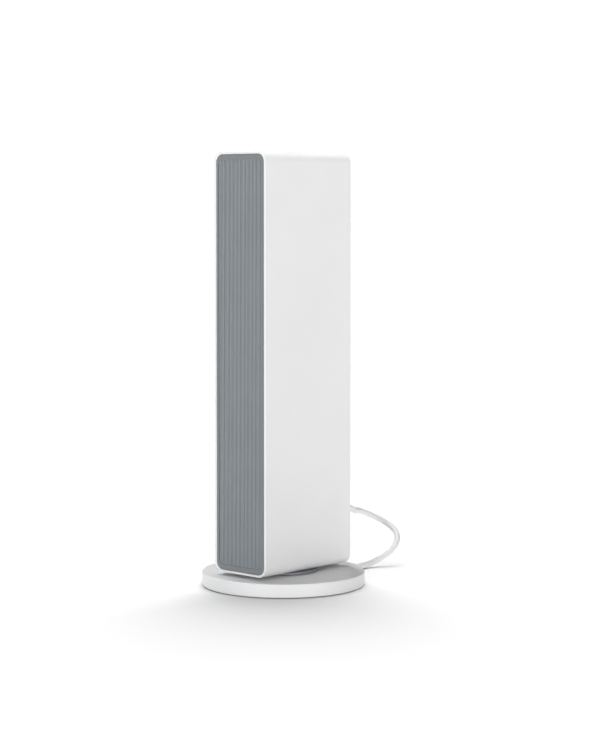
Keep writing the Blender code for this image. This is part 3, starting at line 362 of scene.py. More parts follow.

# %% [markdown]
# ## Mains lead
# The lead leaves the back of the tower low down, droops, swings out in one loop to the
# right and comes back to the floor behind the base. What is left of it is wound into a
# neat coil behind the tower, two layers of turns a diameter apart, and held by a strap.
# A curve object could draw it, but its jacket has lines along it, so it is a mesh tube swept
# along a list of points: a smooth curve through the air and along the floor, then a spiral
# inwards, a climb, and a spiral outwards on top. The real lead bends between two bodies
# when the tower swivels, but this tube stays fixed in place.

# %% The lead's route
LEAD_R = 3.0 * MM
COIL_AT = Vector((-81.0, 109.0, 0.0)) * MM
COIL_STEP = 6.1 * MM  # from one turn to the next
LOW_TURN, HIGH_TURN = 3.1 * MM, 9.2 * MM
RUN = [
    (0, 86.2, 71.5), (0, 91.6, 70), (0, 96, 68.9), (-1, 112, 60.6), (-13, 125, 60.1),
    (-34, 150, 55.6), (-26, 175, 45.3), (-7, 180, 35.3), (7, 171, 27.1), (11, 156, 15.3),
    (0, 140, 5.1), (2, 121, 3.1), (0, 105, 3.3), (-15, 90, 3.1), (-35, 84, 3.2),
    (-49, 79, 3.1), (-55.06, 74.08, 3.1),
]
TAIL = [
    (-44.97, 88.2, 9.2), (-47, 85, 9.2), (-50, 76, 9.4), (-57, 67, 9.6), (-66, 59, 10.6),
    (-71, 45, 10), (-82, 36, 9.1), (-96, 34, 8.3), (-105, 38, 8), (-109, 41.7, 8),
]


FINE_STEPS = 600


def smooth_curve(corners, spacing):
    """Points about `spacing` apart on a clamped cubic B-spline drawn by these corners."""
    corners = [Vector(p) * MM for p in corners]
    spans = len(corners) - 3
    knots = [0.0] * 4 + [i / spans for i in range(1, spans)] + [1.0] * 4

    def point(t):
        k = 3 + min(int(t * spans), spans - 1)
        d = [corners[j + k - 3] for j in range(4)]
        for r in range(1, 4):
            for j in range(3, r - 1, -1):
                low = knots[j + k - 3]
                share = (t - low) / (knots[j + 1 + k - r] - low)
                d[j] = d[j - 1] * (1 - share) + d[j] * share
        return d[3]

    fine = [point(i / FINE_STEPS) for i in range(FINE_STEPS + 1)]
    lengths = [0.0]
    for one, two in zip(fine, fine[1:]):
        lengths.append(lengths[-1] + (two - one).length)
    count = round(lengths[-1] / spacing)
    points = []
    j = 0
    for i in range(count + 1):
        want = lengths[-1] * i / count
        while j < len(lengths) - 2 and lengths[j + 1] < want:
            j += 1
        share = (want - lengths[j]) / (lengths[j + 1] - lengths[j])
        points.append(fine[j].lerp(fine[j + 1], share))
    return points


def coil(steps=40):
    """In along the floor, up one diameter, and out again over the lower turns."""
    start, inward, climb, outward = -53.4, 3.5, 0.25, 3.185
    outer = 43.5 * MM
    points = []
    total = inward + climb + outward
    for i in range(1, round(total * steps)):
        turn = i / steps
        if turn < inward:
            r, z = outer - COIL_STEP * turn, LOW_TURN
        elif turn < inward + climb:
            share = (turn - inward) / climb
            share = share * share * (3 - 2 * share)
            r, z = outer - COIL_STEP * inward, LOW_TURN + (HIGH_TURN - LOW_TURN) * share
        else:
            r, z = outer - COIL_STEP * (2 * inward + climb - turn), HIGH_TURN
        a = math.radians(start - 360 * turn)
        points.append(COIL_AT + Vector((r * math.cos(a), r * math.sin(a), z)))
    return points


RING_STEP = 3.2 * MM  # from one ring of the tube to the next
route = smooth_curve(RUN, RING_STEP) + coil() + smooth_curve(TAIL, RING_STEP)
lead_length = sum((two - one).length for one, two in zip(route, route[1:]))
print(f"lead: {len(route)} points, {lead_length:.3f} m")


# %% A tube along the route
def swept_tube(name, points, radius, sides, look):
    """A closed tube with a UV map: round it in u, metres along it in v."""
    bm = bmesh.new()
    uv = bm.loops.layers.uv.new("along")
    rings, marks = [], []
    side = Vector((0, 0, 1))
    walked = 0.0
    for i, p in enumerate(points):
        way = (points[min(i + 1, len(points) - 1)] - points[max(i - 1, 0)]).normalized()
        side = (side - way * side.dot(way)).normalized()
        other = way.cross(side)
        ring = []
        for k in range(sides):
            a = 2 * math.pi * k / sides
            ring.append(bm.verts.new(p + (side * math.cos(a) + other * math.sin(a)) * radius))
        rings.append(ring)
        marks.append(walked)
        if i + 1 < len(points):
            walked += (points[i + 1] - p).length
    for i in range(len(rings) - 1):
        for k in range(sides):
            n = (k + 1) % sides
            face = bm.faces.new((rings[i][k], rings[i][n], rings[i + 1][n], rings[i + 1][k]))
            face.smooth = True
            ends = ((k, i), (k + 1, i), (k + 1, i + 1), (k, i + 1))
            for loop, (u, v) in zip(face.loops, ends):
                loop[uv].uv = (u / sides, marks[v])
    bm.faces.new(rings[0][::-1])
    bm.faces.new(rings[-1])
    return from_bmesh(name, bm, look)


mains_lead = swept_tube("mains_lead", route, LEAD_R, 14, JACKET)
report(mains_lead)

# %% [markdown]
# ## Turned pieces
# The base, its feet, the neck, the buttons, the screws and the boot on the lead are all
# round. Each is a profile turned about an axis. A Screw modifier would do, but a short
# function gives exact, closed meshes and the same call serves them all. The roundings
# are part of the profile.

# %% Turning a profile
def arc(cx, cy, radius, start, end, steps=6):
    """Points of a rounding, angles in degrees."""
    points = []
    for i in range(steps + 1):
        a = math.radians(start + (end - start) * i / steps)
        points.append((cx + radius * math.cos(a), cy + radius * math.sin(a)))
    return points


def turned_bmesh(profile, sides, closed):
    bm = bmesh.new()
    rings = []
    for r, z in profile:
        if r < 1e-7:
            rings.append([bm.verts.new((0, 0, z))])
            continue
        angles = [2 * math.pi * k / sides for k in range(sides)]
        rings.append([bm.verts.new((r * math.cos(a), r * math.sin(a), z)) for a in angles])
    pairs = list(zip(rings, rings[1:])) + ([(rings[-1], rings[0])] if closed else [])
    for one, two in pairs:
        for k in range(sides):
            n = (k + 1) % sides
            if len(one) == 1:
                bm.faces.new((one[0], two[k], two[n]))
            elif len(two) == 1:
                bm.faces.new((one[k], one[n], two[0]))
            else:
                bm.faces.new((one[k], one[n], two[n], two[k]))
    return bm


def turned(name, profile, sides, look, closed=False, place=None):
    """Turns (radius, height) points in millimetres about Z; `place` then puts the mesh."""
    bm = turned_bmesh([(r * MM, z * MM) for r, z in profile], sides, closed)
    if place is not None:
        bmesh.ops.transform(bm, matrix=place, verts=bm.verts)
    return softened(from_bmesh(name, bm, look), 0)


BASE_R, BASE_TOP, BASE_LOW, BASE_FOOT = 81.5, 14.0, 0.5, 1.6
base_profile = [(19.1, 11.8), *arc(19.6, 13.5, 0.5, 180, 90, 3)]
base_profile += arc(BASE_R - 1.1, BASE_TOP - 1.1, 1.1, 90, 0, 6)
base_profile += arc(BASE_R - BASE_FOOT, BASE_LOW + BASE_FOOT, BASE_FOOT, 0, -90, 8)
base_profile += [(76.5, 3.4), *arc(76.5, 6.2, 2.8, -60, 0, 4), (79.3, 11.8)]
base_dish = turned("base_dish", base_profile, 192, WHITE, closed=True)
report(base_dish)

# %% [markdown]
# ## Copies on points
# Feet and screws repeat. One is modelled, and a node tree puts a copy on every point of a
# small mesh of points, turned to its axis. Python could copy objects in a loop, but the
# tree keeps the rule in one place and leaves a single mesh for each body. It ends in
# Realize Instances, so the copies are real faces, and Set Material.

# %% The tree for copies
def new_tree(name, inputs):
    """A Geometry Nodes tree with named inputs; returns it and its input and output nodes."""
    tree = bpy.data.node_groups.new(name, "GeometryNodeTree")
    tree.interface.new_socket("Geometry", in_out="INPUT", socket_type="NodeSocketGeometry")
    for title, kind in inputs:
        tree.interface.new_socket(title, in_out="INPUT", socket_type="NodeSocket" + kind)
    tree.interface.new_socket("Geometry", in_out="OUTPUT", socket_type="NodeSocketGeometry")
    return tree, tree.nodes.new("NodeGroupInput").outputs, tree.nodes.new("NodeGroupOutput")


def finish_tree(tree, geometry, material, end):
    """Real faces, smooth, with their material."""
    real = node(tree, "GeometryNodeRealizeInstances", {"Geometry": geometry})
    smooth = node(tree, "GeometryNodeSetShadeSmooth", {"Geometry": real.outputs[0]})
    painted = node(tree, "GeometryNodeSetMaterial", {
        "Geometry": smooth.outputs[0], "Material": material})
    tree.links.new(painted.outputs[0], end.inputs[0])


copies_tree, given, end = new_tree("copies_on_points", [
    ("Shape", "Object"), ("Turn", "Vector"), ("Material", "Material")])
shape = node(copies_tree, "GeometryNodeObjectInfo", {"Object": given["Shape"]})
spots = node(copies_tree, "GeometryNodeMeshToPoints", {"Mesh": given["Geometry"]})
turn = node(copies_tree, "FunctionNodeEulerToRotation", {"Euler": given["Turn"]})
placed = node(copies_tree, "GeometryNodeInstanceOnPoints", {
    "Points": spots.outputs[0], "Instance": shape.outputs["Geometry"],
    "Rotation": turn.outputs[0]})
finish_tree(copies_tree, placed.outputs[0], given["Material"], end)


def copies(name, shape, points, look, turn=(0.0, 0.0, 0.0)):
    """Copies of a shape on points in millimetres, as one mesh."""
    mesh = bpy.data.meshes.new(name)
    mesh.from_pydata([Vector(p) * MM for p in points], [], [])
    made = grown(name, copies_tree, {"Shape": shape, "Turn": turn, "Material": look}, mesh)
    made.data.materials.clear()
    made.data.materials.append(look)
    return softened(made, 0)


# %% Rubber feet
foot_shape = turned("foot_shape", [
    (0, 0.35), (3.0, 0.35), *arc(3.6, 0.6, 0.6, 200, 270, 3), *arc(6.7, 0.8, 0.8, -90, 0, 5),
    (7.5, 2.7), (0, 2.7)], 40, RUBBER)
foot_names = ["foot_back_right", "foot_back_left", "foot_front_left", "foot_front_right"]
foot_spots = [(centre_of(n).x, centre_of(n).y, 0.0) for n in foot_names]
rubber_feet = copies("rubber_feet", foot_shape, foot_spots, RUBBER)
bpy.data.objects.remove(foot_shape)
report(rubber_feet)

# %% [markdown]
# ## Screws
# The screws are pan heads with a cross recess. The recess is cut with a Boolean into one
# screw before it is copied, because cutting it once is quicker than cutting every copy.

# %% Screws
def cut(piece, *cutters):
    """Takes the cutters' shapes out of a piece and removes them."""
    for other in cutters:
        step = piece.modifiers.new("cut", "BOOLEAN")
        step.operation = "DIFFERENCE"
        step.solver = "EXACT"
        step.use_self = True
        step.object = other
    baked(piece)
    for other in cutters:
        bpy.data.objects.remove(other)
    return piece


def screw_shape(head_r, head_h, length):
    shape = turned("screw_shape", [
        (0, head_h), *arc(head_r - 1.0, head_h - 1.0, 1.0, 80, 0, 4), (head_r, 0), (1.3, 0),
        (1.3, -length + 0.8), (0.5, -length), (0, -length)], 20, STEEL)
    for a in (0.0, math.pi / 2):
        bm = bmesh.new()
        bmesh.ops.create_cube(bm, size=1.0)
        size = Matrix.Diagonal((head_r * 1.1 * MM, 0.7 * MM, 1.6 * MM, 1.0))
        place = Matrix.Translation((0, 0, head_h * MM)) @ Matrix.Rotation(a, 4, "Z") @ size
        bmesh.ops.transform(bm, matrix=place, verts=bm.verts)
        cut(shape, from_bmesh("recess", bm))
    return shape


pan_head = screw_shape(2.7, 1.4, 5.0)


def screws(name, nodes, level, axis, turn):
    """Screws at the places of these CAD screws; `level` is the height of the head's seat."""
    spots = []
    for title in nodes:
        spot = centre_of(title)
        spot[axis] = level
        spots.append(spot)
    made = copies(name, pan_head, spots, STEEL, turn)
    report(made)
    return made


panel_names = ["panel_screw_1", "panel_screw_2"]
neck_names = ["turntable_screw_1", "turntable_screw_2", "turntable_screw_3"]
plate_names = ["base_screw_1", "base_screw_2", "base_screw_3"]
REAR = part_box("rear_panel")[1].y / MM
panel_screws = screws("panel_screws", panel_names, REAR - 1.1, 1, (-math.pi / 2, 0.0, 0.0))
NECK_SEAT, PLATE_SEAT = 19.8, 3.3
neck_screws = screws("neck_screws", neck_names, NECK_SEAT, 2, (0.0, 0.0, 0.0))
plate_screws = screws("plate_screws", plate_names, PLATE_SEAT, 2, (math.pi, 0.0, 0.0))
bpy.data.objects.remove(pan_head)

# %% [markdown]
# ## Casing
# The casing is one wall bent into a tall rounded rectangle and open at both ends, as an
# extrusion or a deep moulding would be. Its shape follows a rule, so a node tree draws
# it: the rounded rectangle is a path, and the wall's cross-section, with softened edges,
# is swept along it. Modelled by hand, the same shape would need loops at every corner.
# The opening for the top panel and the holes in the floor are then cut out, and the
# normals weighted by face size so that the broad sides stay perfectly flat.

# %% The tree for a swept ring
ring_tree, given, end = new_tree("swept_ring", [
    ("Width", "Float"), ("Height", "Float"), ("Depth", "Float"), ("Wall", "Float"),
    ("Corner", "Float"), ("Corner Steps", "Int"), ("Edge", "Float"), ("Centre", "Vector"),
    ("Material", "Material")])


def maths(tree, operation, one, two=0.0):
    return node(tree, "ShaderNodeMath", {0: one, 1: two}, operation=operation).outputs[0]


def rounded(tree, width, height, radius, steps):
    shape = node(tree, "GeometryNodeCurvePrimitiveQuadrilateral", {
        "Width": width, "Height": height}, mode="RECTANGLE")
    return node(tree, "GeometryNodeFilletCurve", {
        "Curve": shape.outputs[0], "Radius": radius, "Count": steps}, mode="POLY").outputs[0]


half_wall = maths(ring_tree, "MULTIPLY", given["Wall"], 0.5)
path = rounded(ring_tree, maths(ring_tree, "SUBTRACT", given["Width"], given["Wall"]),
               maths(ring_tree, "SUBTRACT", given["Height"], given["Wall"]),
               maths(ring_tree, "SUBTRACT", given["Corner"], half_wall), given["Corner Steps"])
section = rounded(ring_tree, given["Wall"], given["Depth"], given["Edge"], 5)
swept = node(ring_tree, "GeometryNodeCurveToMesh", {"Curve": path, "Profile Curve": section})
upright = node(ring_tree, "GeometryNodeTransform", {
    "Geometry": swept.outputs[0], "Translation": given["Centre"],
    "Rotation": (math.pi / 2, 0.0, 0.0)})
finish_tree(ring_tree, upright.outputs[0], given["Material"], end)

# %% The casing
casing_low, casing_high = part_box("sleeve")
size = casing_high - casing_low
casing = grown("casing", ring_tree, {
    "Width": size.x, "Height": size.z, "Depth": size.y, "Wall": 2.4 * MM,
    "Corner": 10.5 * MM, "Corner Steps": 28, "Edge": 0.55 * MM,
    "Centre": (casing_low + casing_high) / 2, "Material": WHITE})
report(casing)


def rounded_outline(width, height, radii, centre=(0.0, 0.0), steps=8):
    """Corner points in millimetres, from upper right anticlockwise; one radius or four."""
    radii = radii if isinstance(radii, tuple) else (radii,) * 4
    points = []
    for corner, r in enumerate(radii):
        cx = centre[0] + (1 if corner in (0, 3) else -1) * (width / 2 - r)
        cy = centre[1] + (1 if corner in (0, 1) else -1) * (height / 2 - r)
        points += arc(cx, cy, r, 90 * corner, 90 * (corner + 1), steps)
    return points


def slab(name, outline, low, high, axis="Z", look=None):
    """A closed outline drawn out from low to high, in millimetres, along Y or Z."""
    bm = bmesh.new()
    ends = []
    for c in (low, high):
        points = [(a, b, c) if axis == "Z" else (a, c, b) for a, b in outline]
        ends.append([bm.verts.new(Vector(p) * MM) for p in points])
        bm.faces.new(ends[-1])
    for i in range(len(outline)):
        j = (i + 1) % len(outline)
        bm.faces.new((ends[0][i], ends[0][j], ends[1][j], ends[1][i]))
    return from_bmesh(name, bm, look)


def disc_cutter(radius, low, high, spot=(0.0, 0.0), axis="Z"):
    outline = [(spot[0] + x, spot[1] + y) for x, y in arc(0, 0, radius, 0, 352.5, 47)]
    return slab("hole", outline, low, high, axis)


CASING_TOP = casing_high.z / MM
CASING_LOW = casing_low.z / MM
panel_opening = slab("opening", rounded_outline(42.0, 72.0, 6.0), CASING_TOP - 4, CASING_TOP + 1)
NECK_HOLE_R, SCREW_HOLE_R, SCREW_SEAT_R = 18.9, 1.6, 3.1
floor_holes = [disc_cutter(NECK_HOLE_R, CASING_LOW - 1, CASING_LOW + 4)]
for title in neck_names:
    spot = centre_of(title)
    floor_holes.append(disc_cutter(SCREW_HOLE_R, CASING_LOW - 1, CASING_LOW + 4, spot[:2]))
cut(casing, panel_opening, *floor_holes)
softened(casing, 0)
report(casing)

# %% [markdown]
# ## Front grille
# The outlet grille is a flat moulding with a plain border and fine upright ribs, set just
# behind the casing's front rim. The ribs repeat with a rule: they stand 1.85 mm apart and
# rise and fall slightly across the width, which is what draws the soft lighter bands on
# the real one. A node tree fits it well: a line of points gives the places, two cosines
# of the place give the rise, and a slim rounded rib is copied onto each. An array
# modifier could repeat the rib but not vary it.

# %% The tree for the ribs
rib_tree, given, end = new_tree("upright_ribs", [
    ("Count", "Int"), ("Pitch", "Float"), ("Rib Width", "Float"), ("Rib Depth", "Float"),
    ("Height", "Float"), ("Rise", "Float"), ("Band", "Float"), ("Wide Band", "Float"),
    ("Band Start", "Float"), ("Centre", "Vector"), ("Material", "Material")])


def row_of(tree, count, pitch, axis):
    """Points in a line along an axis, about the origin."""
    half = maths(tree, "MULTIPLY", maths(tree, "SUBTRACT", count, 1.0), -0.5)
    first = node(tree, "ShaderNodeCombineXYZ", {axis: maths(tree, "MULTIPLY", half, pitch)})
    offset = node(tree, "ShaderNodeCombineXYZ", {axis: pitch})
    return node(tree, "GeometryNodeMeshLine", {
        "Count": count, "Start Location": first.outputs[0], "Offset": offset.outputs[0]},
        mode="OFFSET").outputs[0]


position = node(rib_tree, "GeometryNodeInputPosition")
across = node(rib_tree, "ShaderNodeSeparateXYZ", {0: position.outputs[0]}).outputs["X"]
across = maths(rib_tree, "SUBTRACT", across, given["Band Start"])


def wave(length):
    angle = maths(rib_tree, "DIVIDE", maths(rib_tree, "MULTIPLY", across, 2 * math.pi), length)
    return maths(rib_tree, "COSINE", angle)


both = maths(rib_tree, "ADD", wave(given["Band"]), wave(given["Wide Band"]))
rise = maths(rib_tree, "MULTIPLY", both, given["Rise"])
forward = node(rib_tree, "ShaderNodeCombineXYZ", {"Y": maths(rib_tree, "MULTIPLY", rise, -0.5)})
moved = node(rib_tree, "GeometryNodeSetPosition", {
    "Geometry": row_of(rib_tree, given["Count"], given["Pitch"], "X"),
    "Offset": forward.outputs[0]})
tall = maths(rib_tree, "MULTIPLY", given["Height"], 0.5)
foot = node(rib_tree, "ShaderNodeCombineXYZ", {"Z": maths(rib_tree, "MULTIPLY", tall, -1.0)})
head = node(rib_tree, "ShaderNodeCombineXYZ", {"Z": tall})
stem = node(rib_tree, "GeometryNodeCurvePrimitiveLine", {
    "Start": foot.outputs[0], "End": head.outputs[0]})
face = rounded(rib_tree, given["Rib Width"], given["Rib Depth"],
               maths(rib_tree, "MULTIPLY", given["Rib Width"], 0.42), 3)
rib = node(rib_tree, "GeometryNodeCurveToMesh", {
    "Curve": stem.outputs[0], "Profile Curve": face, "Fill Caps": True})
ribs = node(rib_tree, "GeometryNodeInstanceOnPoints", {
    "Points": moved.outputs[0], "Instance": rib.outputs[0]})
put = node(rib_tree, "GeometryNodeTransform", {
    "Geometry": ribs.outputs[0], "Translation": given["Centre"]})
finish_tree(rib_tree, put.outputs[0], given["Material"], end)

# %% Ribs and border
grille_low, grille_high = box_mm("front_grille")
GRILLE_W = grille_high.x - grille_low.x
GRILLE_H = grille_high.z - grille_low.z
GRILLE_MID = (grille_high.z + grille_low.z) / 2
BORDER_SIDE, BORDER_END = 2.4, 5.0
RIB_PITCH = 1.85
rib_count = int((GRILLE_W - 2 * BORDER_SIDE) / RIB_PITCH)
grille_ribs = grown("grille_ribs", rib_tree, {
    "Count": rib_count, "Pitch": RIB_PITCH * MM, "Rib Width": 1.25 * MM, "Rib Depth": 2.4 * MM,
    "Height": (GRILLE_H - 2 * BORDER_END + 2.0) * MM, "Rise": 0.14 * MM, "Band": 7.4 * MM,
    "Wide Band": 10.2 * MM, "Band Start": 5.1 * MM,
    "Centre": Vector((0, grille_low.y + 1.5, GRILLE_MID)) * MM, "Material": GREY})
print("ribs:", rib_count)
report(grille_ribs)


def framed(name, outline, hole, low, high, axis, look, edge):
    """A slab with one opening and softened edges."""
    made = slab(name, outline, low, high, axis, look)
    cut(made, slab("hole", hole, low - 1, high + 1, axis))
    return softened(made, edge * MM)


mid = (0.0, GRILLE_MID)
# The border wears the darker grey with painted shade, to match the ribs that shade each other.
grille_border = framed(
    "grille_border", rounded_outline(GRILLE_W, GRILLE_H, 8.1, mid, 14),
    rounded_outline(GRILLE_W - 2 * BORDER_SIDE, GRILLE_H - 2 * BORDER_END, 5.0, mid, 12),
    grille_low.y, grille_high.y, "Y", GREY_PAINTED_SHADE, 0.35)
report(grille_border)

# %% [markdown]
# ## Rear cover
# Air enters through the back: a plain plate with a tall ladder of slots, pulled straight
# off backwards to reach the filter. The slots repeat, so a tree copies one slot-shaped
# cutter up a line of points, and one Boolean takes them all out of the plate. Building
# the bars between the slots instead would leave seams where they meet the plate. The
# edges are rounded afterwards, as a moulding's are.

# %% The tree for a ladder of slots
ladder_tree, given, end = new_tree("ladder_of_slots", [
    ("Count", "Int"), ("Pitch", "Float"), ("Slot Width", "Float"), ("Slot Height", "Float"),
    ("Depth", "Float"), ("Centre", "Vector"), ("Material", "Material")])
slot_face = node(ladder_tree, "GeometryNodeFillCurve", {
    "Curve": rounded(ladder_tree, given["Slot Width"], given["Slot Height"],
                     maths(ladder_tree, "MULTIPLY", given["Slot Height"], 0.499), 6)})
push = node(ladder_tree, "ShaderNodeCombineXYZ", {"Z": given["Depth"]})
slot_solid = node(ladder_tree, "GeometryNodeExtrudeMesh", {
    "Mesh": slot_face.outputs[0], "Offset": push.outputs[0], "Individual": False})
both_ends = node(ladder_tree, "GeometryNodeFlipFaces", {"Mesh": slot_face.outputs[0]})
joined = node(ladder_tree, "GeometryNodeJoinGeometry")
ladder_tree.links.new(slot_solid.outputs[0], joined.inputs[0])
ladder_tree.links.new(both_ends.outputs[0], joined.inputs[0])
welded = node(ladder_tree, "GeometryNodeMergeByDistance", {
    "Geometry": joined.outputs[0], "Distance": 0.001 * MM})
tipped = node(ladder_tree, "GeometryNodeTransform", {
    "Geometry": welded.outputs[0], "Rotation": (math.pi / 2, 0.0, 0.0)})
ladder = node(ladder_tree, "GeometryNodeInstanceOnPoints", {
    "Points": row_of(ladder_tree, given["Count"], given["Pitch"], "Z"),
    "Instance": tipped.outputs[0]})
put = node(ladder_tree, "GeometryNodeTransform", {
    "Geometry": ladder.outputs[0], "Translation": given["Centre"]})
finish_tree(ladder_tree, put.outputs[0], given["Material"], end)

# %% The rear cover
cover_low, cover_high = box_mm("rear_cover")
COVER_W = cover_high.x - cover_low.x
COVER_H = cover_high.z - cover_low.z
COVER_MID = (cover_high.z + cover_low.z) / 2
COVER_FACE = cover_high.y - 2.4
SLOT_PITCH = 6.4
frame_low, frame_high = (corner.z for corner in box_mm("filter_frame"))
slot_count = int((frame_high - frame_low - 8) / SLOT_PITCH)
cover_radii = (7.8, 7.8, 1.5, 1.5)
inlet_cover = slab("inlet_cover", rounded_outline(COVER_W, COVER_H, cover_radii, (0, COVER_MID)),
                   COVER_FACE, cover_high.y, "Y", WHITE)
slots = grown("slots", ladder_tree, {
    "Count": slot_count, "Pitch": SLOT_PITCH * MM, "Slot Width": 42 * MM,
    "Slot Height": 2.6 * MM, "Depth": 6 * MM, "Material": WHITE,
    "Centre": Vector((0, cover_high.y + 1.5, (frame_low + frame_high) / 2)) * MM})
print("slots:", slot_count)
report(slots)
GRIP_R, GRIP_WEB = 9.0, 1.2
grip = disc_cutter(GRIP_R, COVER_FACE + GRIP_WEB, cover_high.y + 1, (0, cover_high.z - 8), "Y")
cut(inlet_cover, slots, grip)
softened(inlet_cover, 0.35 * MM, 2)
rim_radii = tuple(r * 0.9 for r in cover_radii)
cover_rim = framed(
    "cover_rim", rounded_outline(COVER_W - 0.6, COVER_H - 0.6, rim_radii, (0, COVER_MID)),
    rounded_outline(COVER_W - 3.4, COVER_H - 3.4, tuple(r * 0.75 for r in cover_radii),
                    (0, COVER_MID)),
    cover_low.y, COVER_FACE + 0.2, "Y", WHITE, 0.3)
report(inlet_cover)

# %% [markdown]
# ## Lower rear panel, cord ring and boot
# The lower back is a separate panel held by two screws in sunk seats. The lead passes
# through a ring in it and is guarded by a tapered boot, which is grooved so that it bends
# evenly instead of kinking at the wall. The boot is a turned profile whose grooves come
# from a loop, tipped down by the droop of the lead.

# %% Rear panel
panel_low, panel_high = box_mm("rear_panel")
PANEL_MID = (panel_low.z + panel_high.z) / 2
service_panel = slab(
    "service_panel",
    rounded_outline(panel_high.x - panel_low.x, panel_high.z - panel_low.z,
                    (1.5, 1.5, 7.8, 7.8), (0, PANEL_MID)), panel_low.y, REAR, "Y", WHITE)
gland_at = centre_of("cord_gland")
holes = [disc_cutter(9.1, panel_low.y - 1, REAR + 1, (gland_at.x, gland_at.z), "Y")]
for title in panel_names:
    spot = centre_of(title)
    holes.append(disc_cutter(SCREW_SEAT_R, REAR - 1.2, REAR + 1, (spot.x, spot.z), "Y"))
    holes.append(disc_cutter(SCREW_HOLE_R, panel_low.y - 1, REAR, (spot.x, spot.z), "Y"))
cut(service_panel, *holes)
softened(service_panel, 0.3 * MM, 2)
report(service_panel)

# %% Cord ring and boot
ring_low, ring_high = box_mm("cord_gland")
to_y = Matrix.Rotation(math.radians(-90), 4, "X")
ring_place = Matrix.Translation(Vector((0, ring_low.y, gland_at.z)) * MM) @ to_y
depth = ring_high.y - ring_low.y
cord_ring = turned("cord_ring", [
    (8.8, 0), (8.8, depth - 0.6), *arc(8.2, depth - 0.6, 0.6, 0, 90, 4),
    *arc(7.0, depth - 0.6, 0.6, 90, 180, 4), (6.4, 0)], 64, DARK, closed=True, place=ring_place)
BOOT_LENGTH, ROOT_R, TIP_R, DROOP = 30.0, 4.7, 3.9, math.radians(15)
boot = [(0, -7.4), (ROOT_R, -7.4), (ROOT_R, -1.0), *arc(5.5, 0.2, 0.6, 270, 360, 3),
        *arc(5.5, 0.8, 0.6, 0, 90, 3), (4.9, 1.6)]
GROOVES = 7
for i in range(GROOVES):
    start = 3.0 + 3.2 * i
    for along, sink in ((0.0, 0.0), (2.0, 0.0), (2.25, 0.35), (2.5, 0.5), (2.95, 0.5),
                        (3.15, 0.3)):
        z = start + along
        boot.append((ROOT_R + (TIP_R - ROOT_R) * z / BOOT_LENGTH - sink, z))
boot += [(TIP_R + 0.08, 26.5), *arc(TIP_R - 0.5, 29.5, 0.5, 0, 90, 4), (0, 30.0)]
boot_place = (Matrix.Translation(Vector((0, REAR, gland_at.z)) * MM)
              @ Matrix.Rotation(-DROOP, 4, "X") @ to_y)
lead_boot = turned("lead_boot", boot, 40, PLUG_SKIN, place=boot_place)
report(lead_boot)

# %% [markdown]
# ## Neck
# Between the base and the tower a grey neck carries the weight. It is mostly in shadow,
# and its rim turns with the tower.

# %% Neck
neck_low, neck_high = box_mm("turntable")
recess = neck_low.z + 1.0
NECK_TOP = 16.7
neck = [(15.0, recess), (33.0, recess), (33.0, neck_low.z), *arc(34.1, neck_low.z + 0.4, 0.4,
        -90, 0, 3), *arc(34.1, NECK_TOP - 0.4, 0.4, 0, 90, 3), (18.6, NECK_TOP),
        (18.6, neck_high.z), (15.0, neck_high.z)]
turn_neck = turned("turn_neck", neck, 96, ROTOR, closed=True)
report(turn_neck)

# %% [markdown]
# ## Top panel, window and buttons
# The controls sit in a dark panel let into the top: a smoked window for the lights and
# three round buttons. A finger finds each by its dished top and its raised dots: one for
# power, two for speed, three for swing. Each button moves on its own, so each is its own
# piece. The dots are small domes copied by the same tree as the feet.

# %% Top panel and window
top_low, top_high = box_mm("control_panel")
TOP = top_high.z
button_names = ["swing_button", "speed_button", "power_button"]
top_panel = slab("top_panel", rounded_outline(
    top_high.x - top_low.x, top_high.y - top_low.y, 5.7, (0, 0), 10), top_low.z, TOP, "Z", DARK)
lens_low, lens_high = box_mm("display_lens")
lens_mid = (0.0, (lens_low.y + lens_high.y) / 2)
lens_w, lens_d = lens_high.x - lens_low.x, lens_high.y - lens_low.y
lens_hole = rounded_outline(lens_w + 0.5, lens_d + 0.5, 1.4, lens_mid)
holes = [slab("hole", lens_hole, TOP - 4, TOP + 1)]
for title in button_names:
    spot = centre_of(title)
    holes.append(disc_cutter(6.3, TOP - 4, TOP + 1, (spot.x, spot.y)))
cut(top_panel, *holes)
softened(top_panel, 0.3 * MM, 2)
display_window = slab("display_window", rounded_outline(lens_w, lens_d, 1.2, lens_mid),
                      lens_low.z, lens_high.z, "Z", WINDOW)
softened(display_window, 0.25 * MM, 3)
report(top_panel)

# %% Buttons
dot_shape = turned("dot_shape", [(0, 0.3), *arc(0.0, -0.1, 0.45, 70, 10, 4), (0.45, -0.3),
                                 (0, -0.3)], 12, DARK)
DOT_PITCH = 1.5
caps = {}
for dots, title in zip((3, 2, 1), button_names):
    low, high = box_mm(title)
    spot = (low + high) / 2
    place = Matrix.Translation(Vector((spot.x, spot.y, low.z)) * MM)
    h = high.z - low.z
    body = turned(title + "_body", [
        (0, h - 0.55), (2.0, h - 0.5), (4.2, h - 0.2), *arc(5.2, h - 0.8, 0.8, 90, 0, 5),
        (6.0, 0.3), (5.7, 0), (0, 0)], 64, DARK, place=place)
    marks = copies(title + "_marks", dot_shape, [
        (spot.x + DOT_PITCH * (k - (dots - 1) / 2), spot.y, low.z + h - 0.5)
        for k in range(dots)], DARK)
    bm = bmesh.new()
    bm.from_mesh(body.data)
    bm.from_mesh(marks.data)
    cap = from_bmesh(title.replace("button", "cap"), bm, DARK)
    for old in (body, marks):
        bpy.data.objects.remove(old)
    caps[title] = softened(cap, 0)
    report(cap)
bpy.data.objects.remove(dot_shape)

# %% [markdown]
# ## Plug, pins and strap
# The far end of the lead lies beside the coil in its two-pin plug: a flat body that
# narrows towards a ribbed grip, moulded in the same soft plastic as the lead. It starts
# as a drawn-out outline, is rounded with a wide bevel, and its grip is a turned profile
# with a ring at every step. The strap round the coil is a flat woven band.

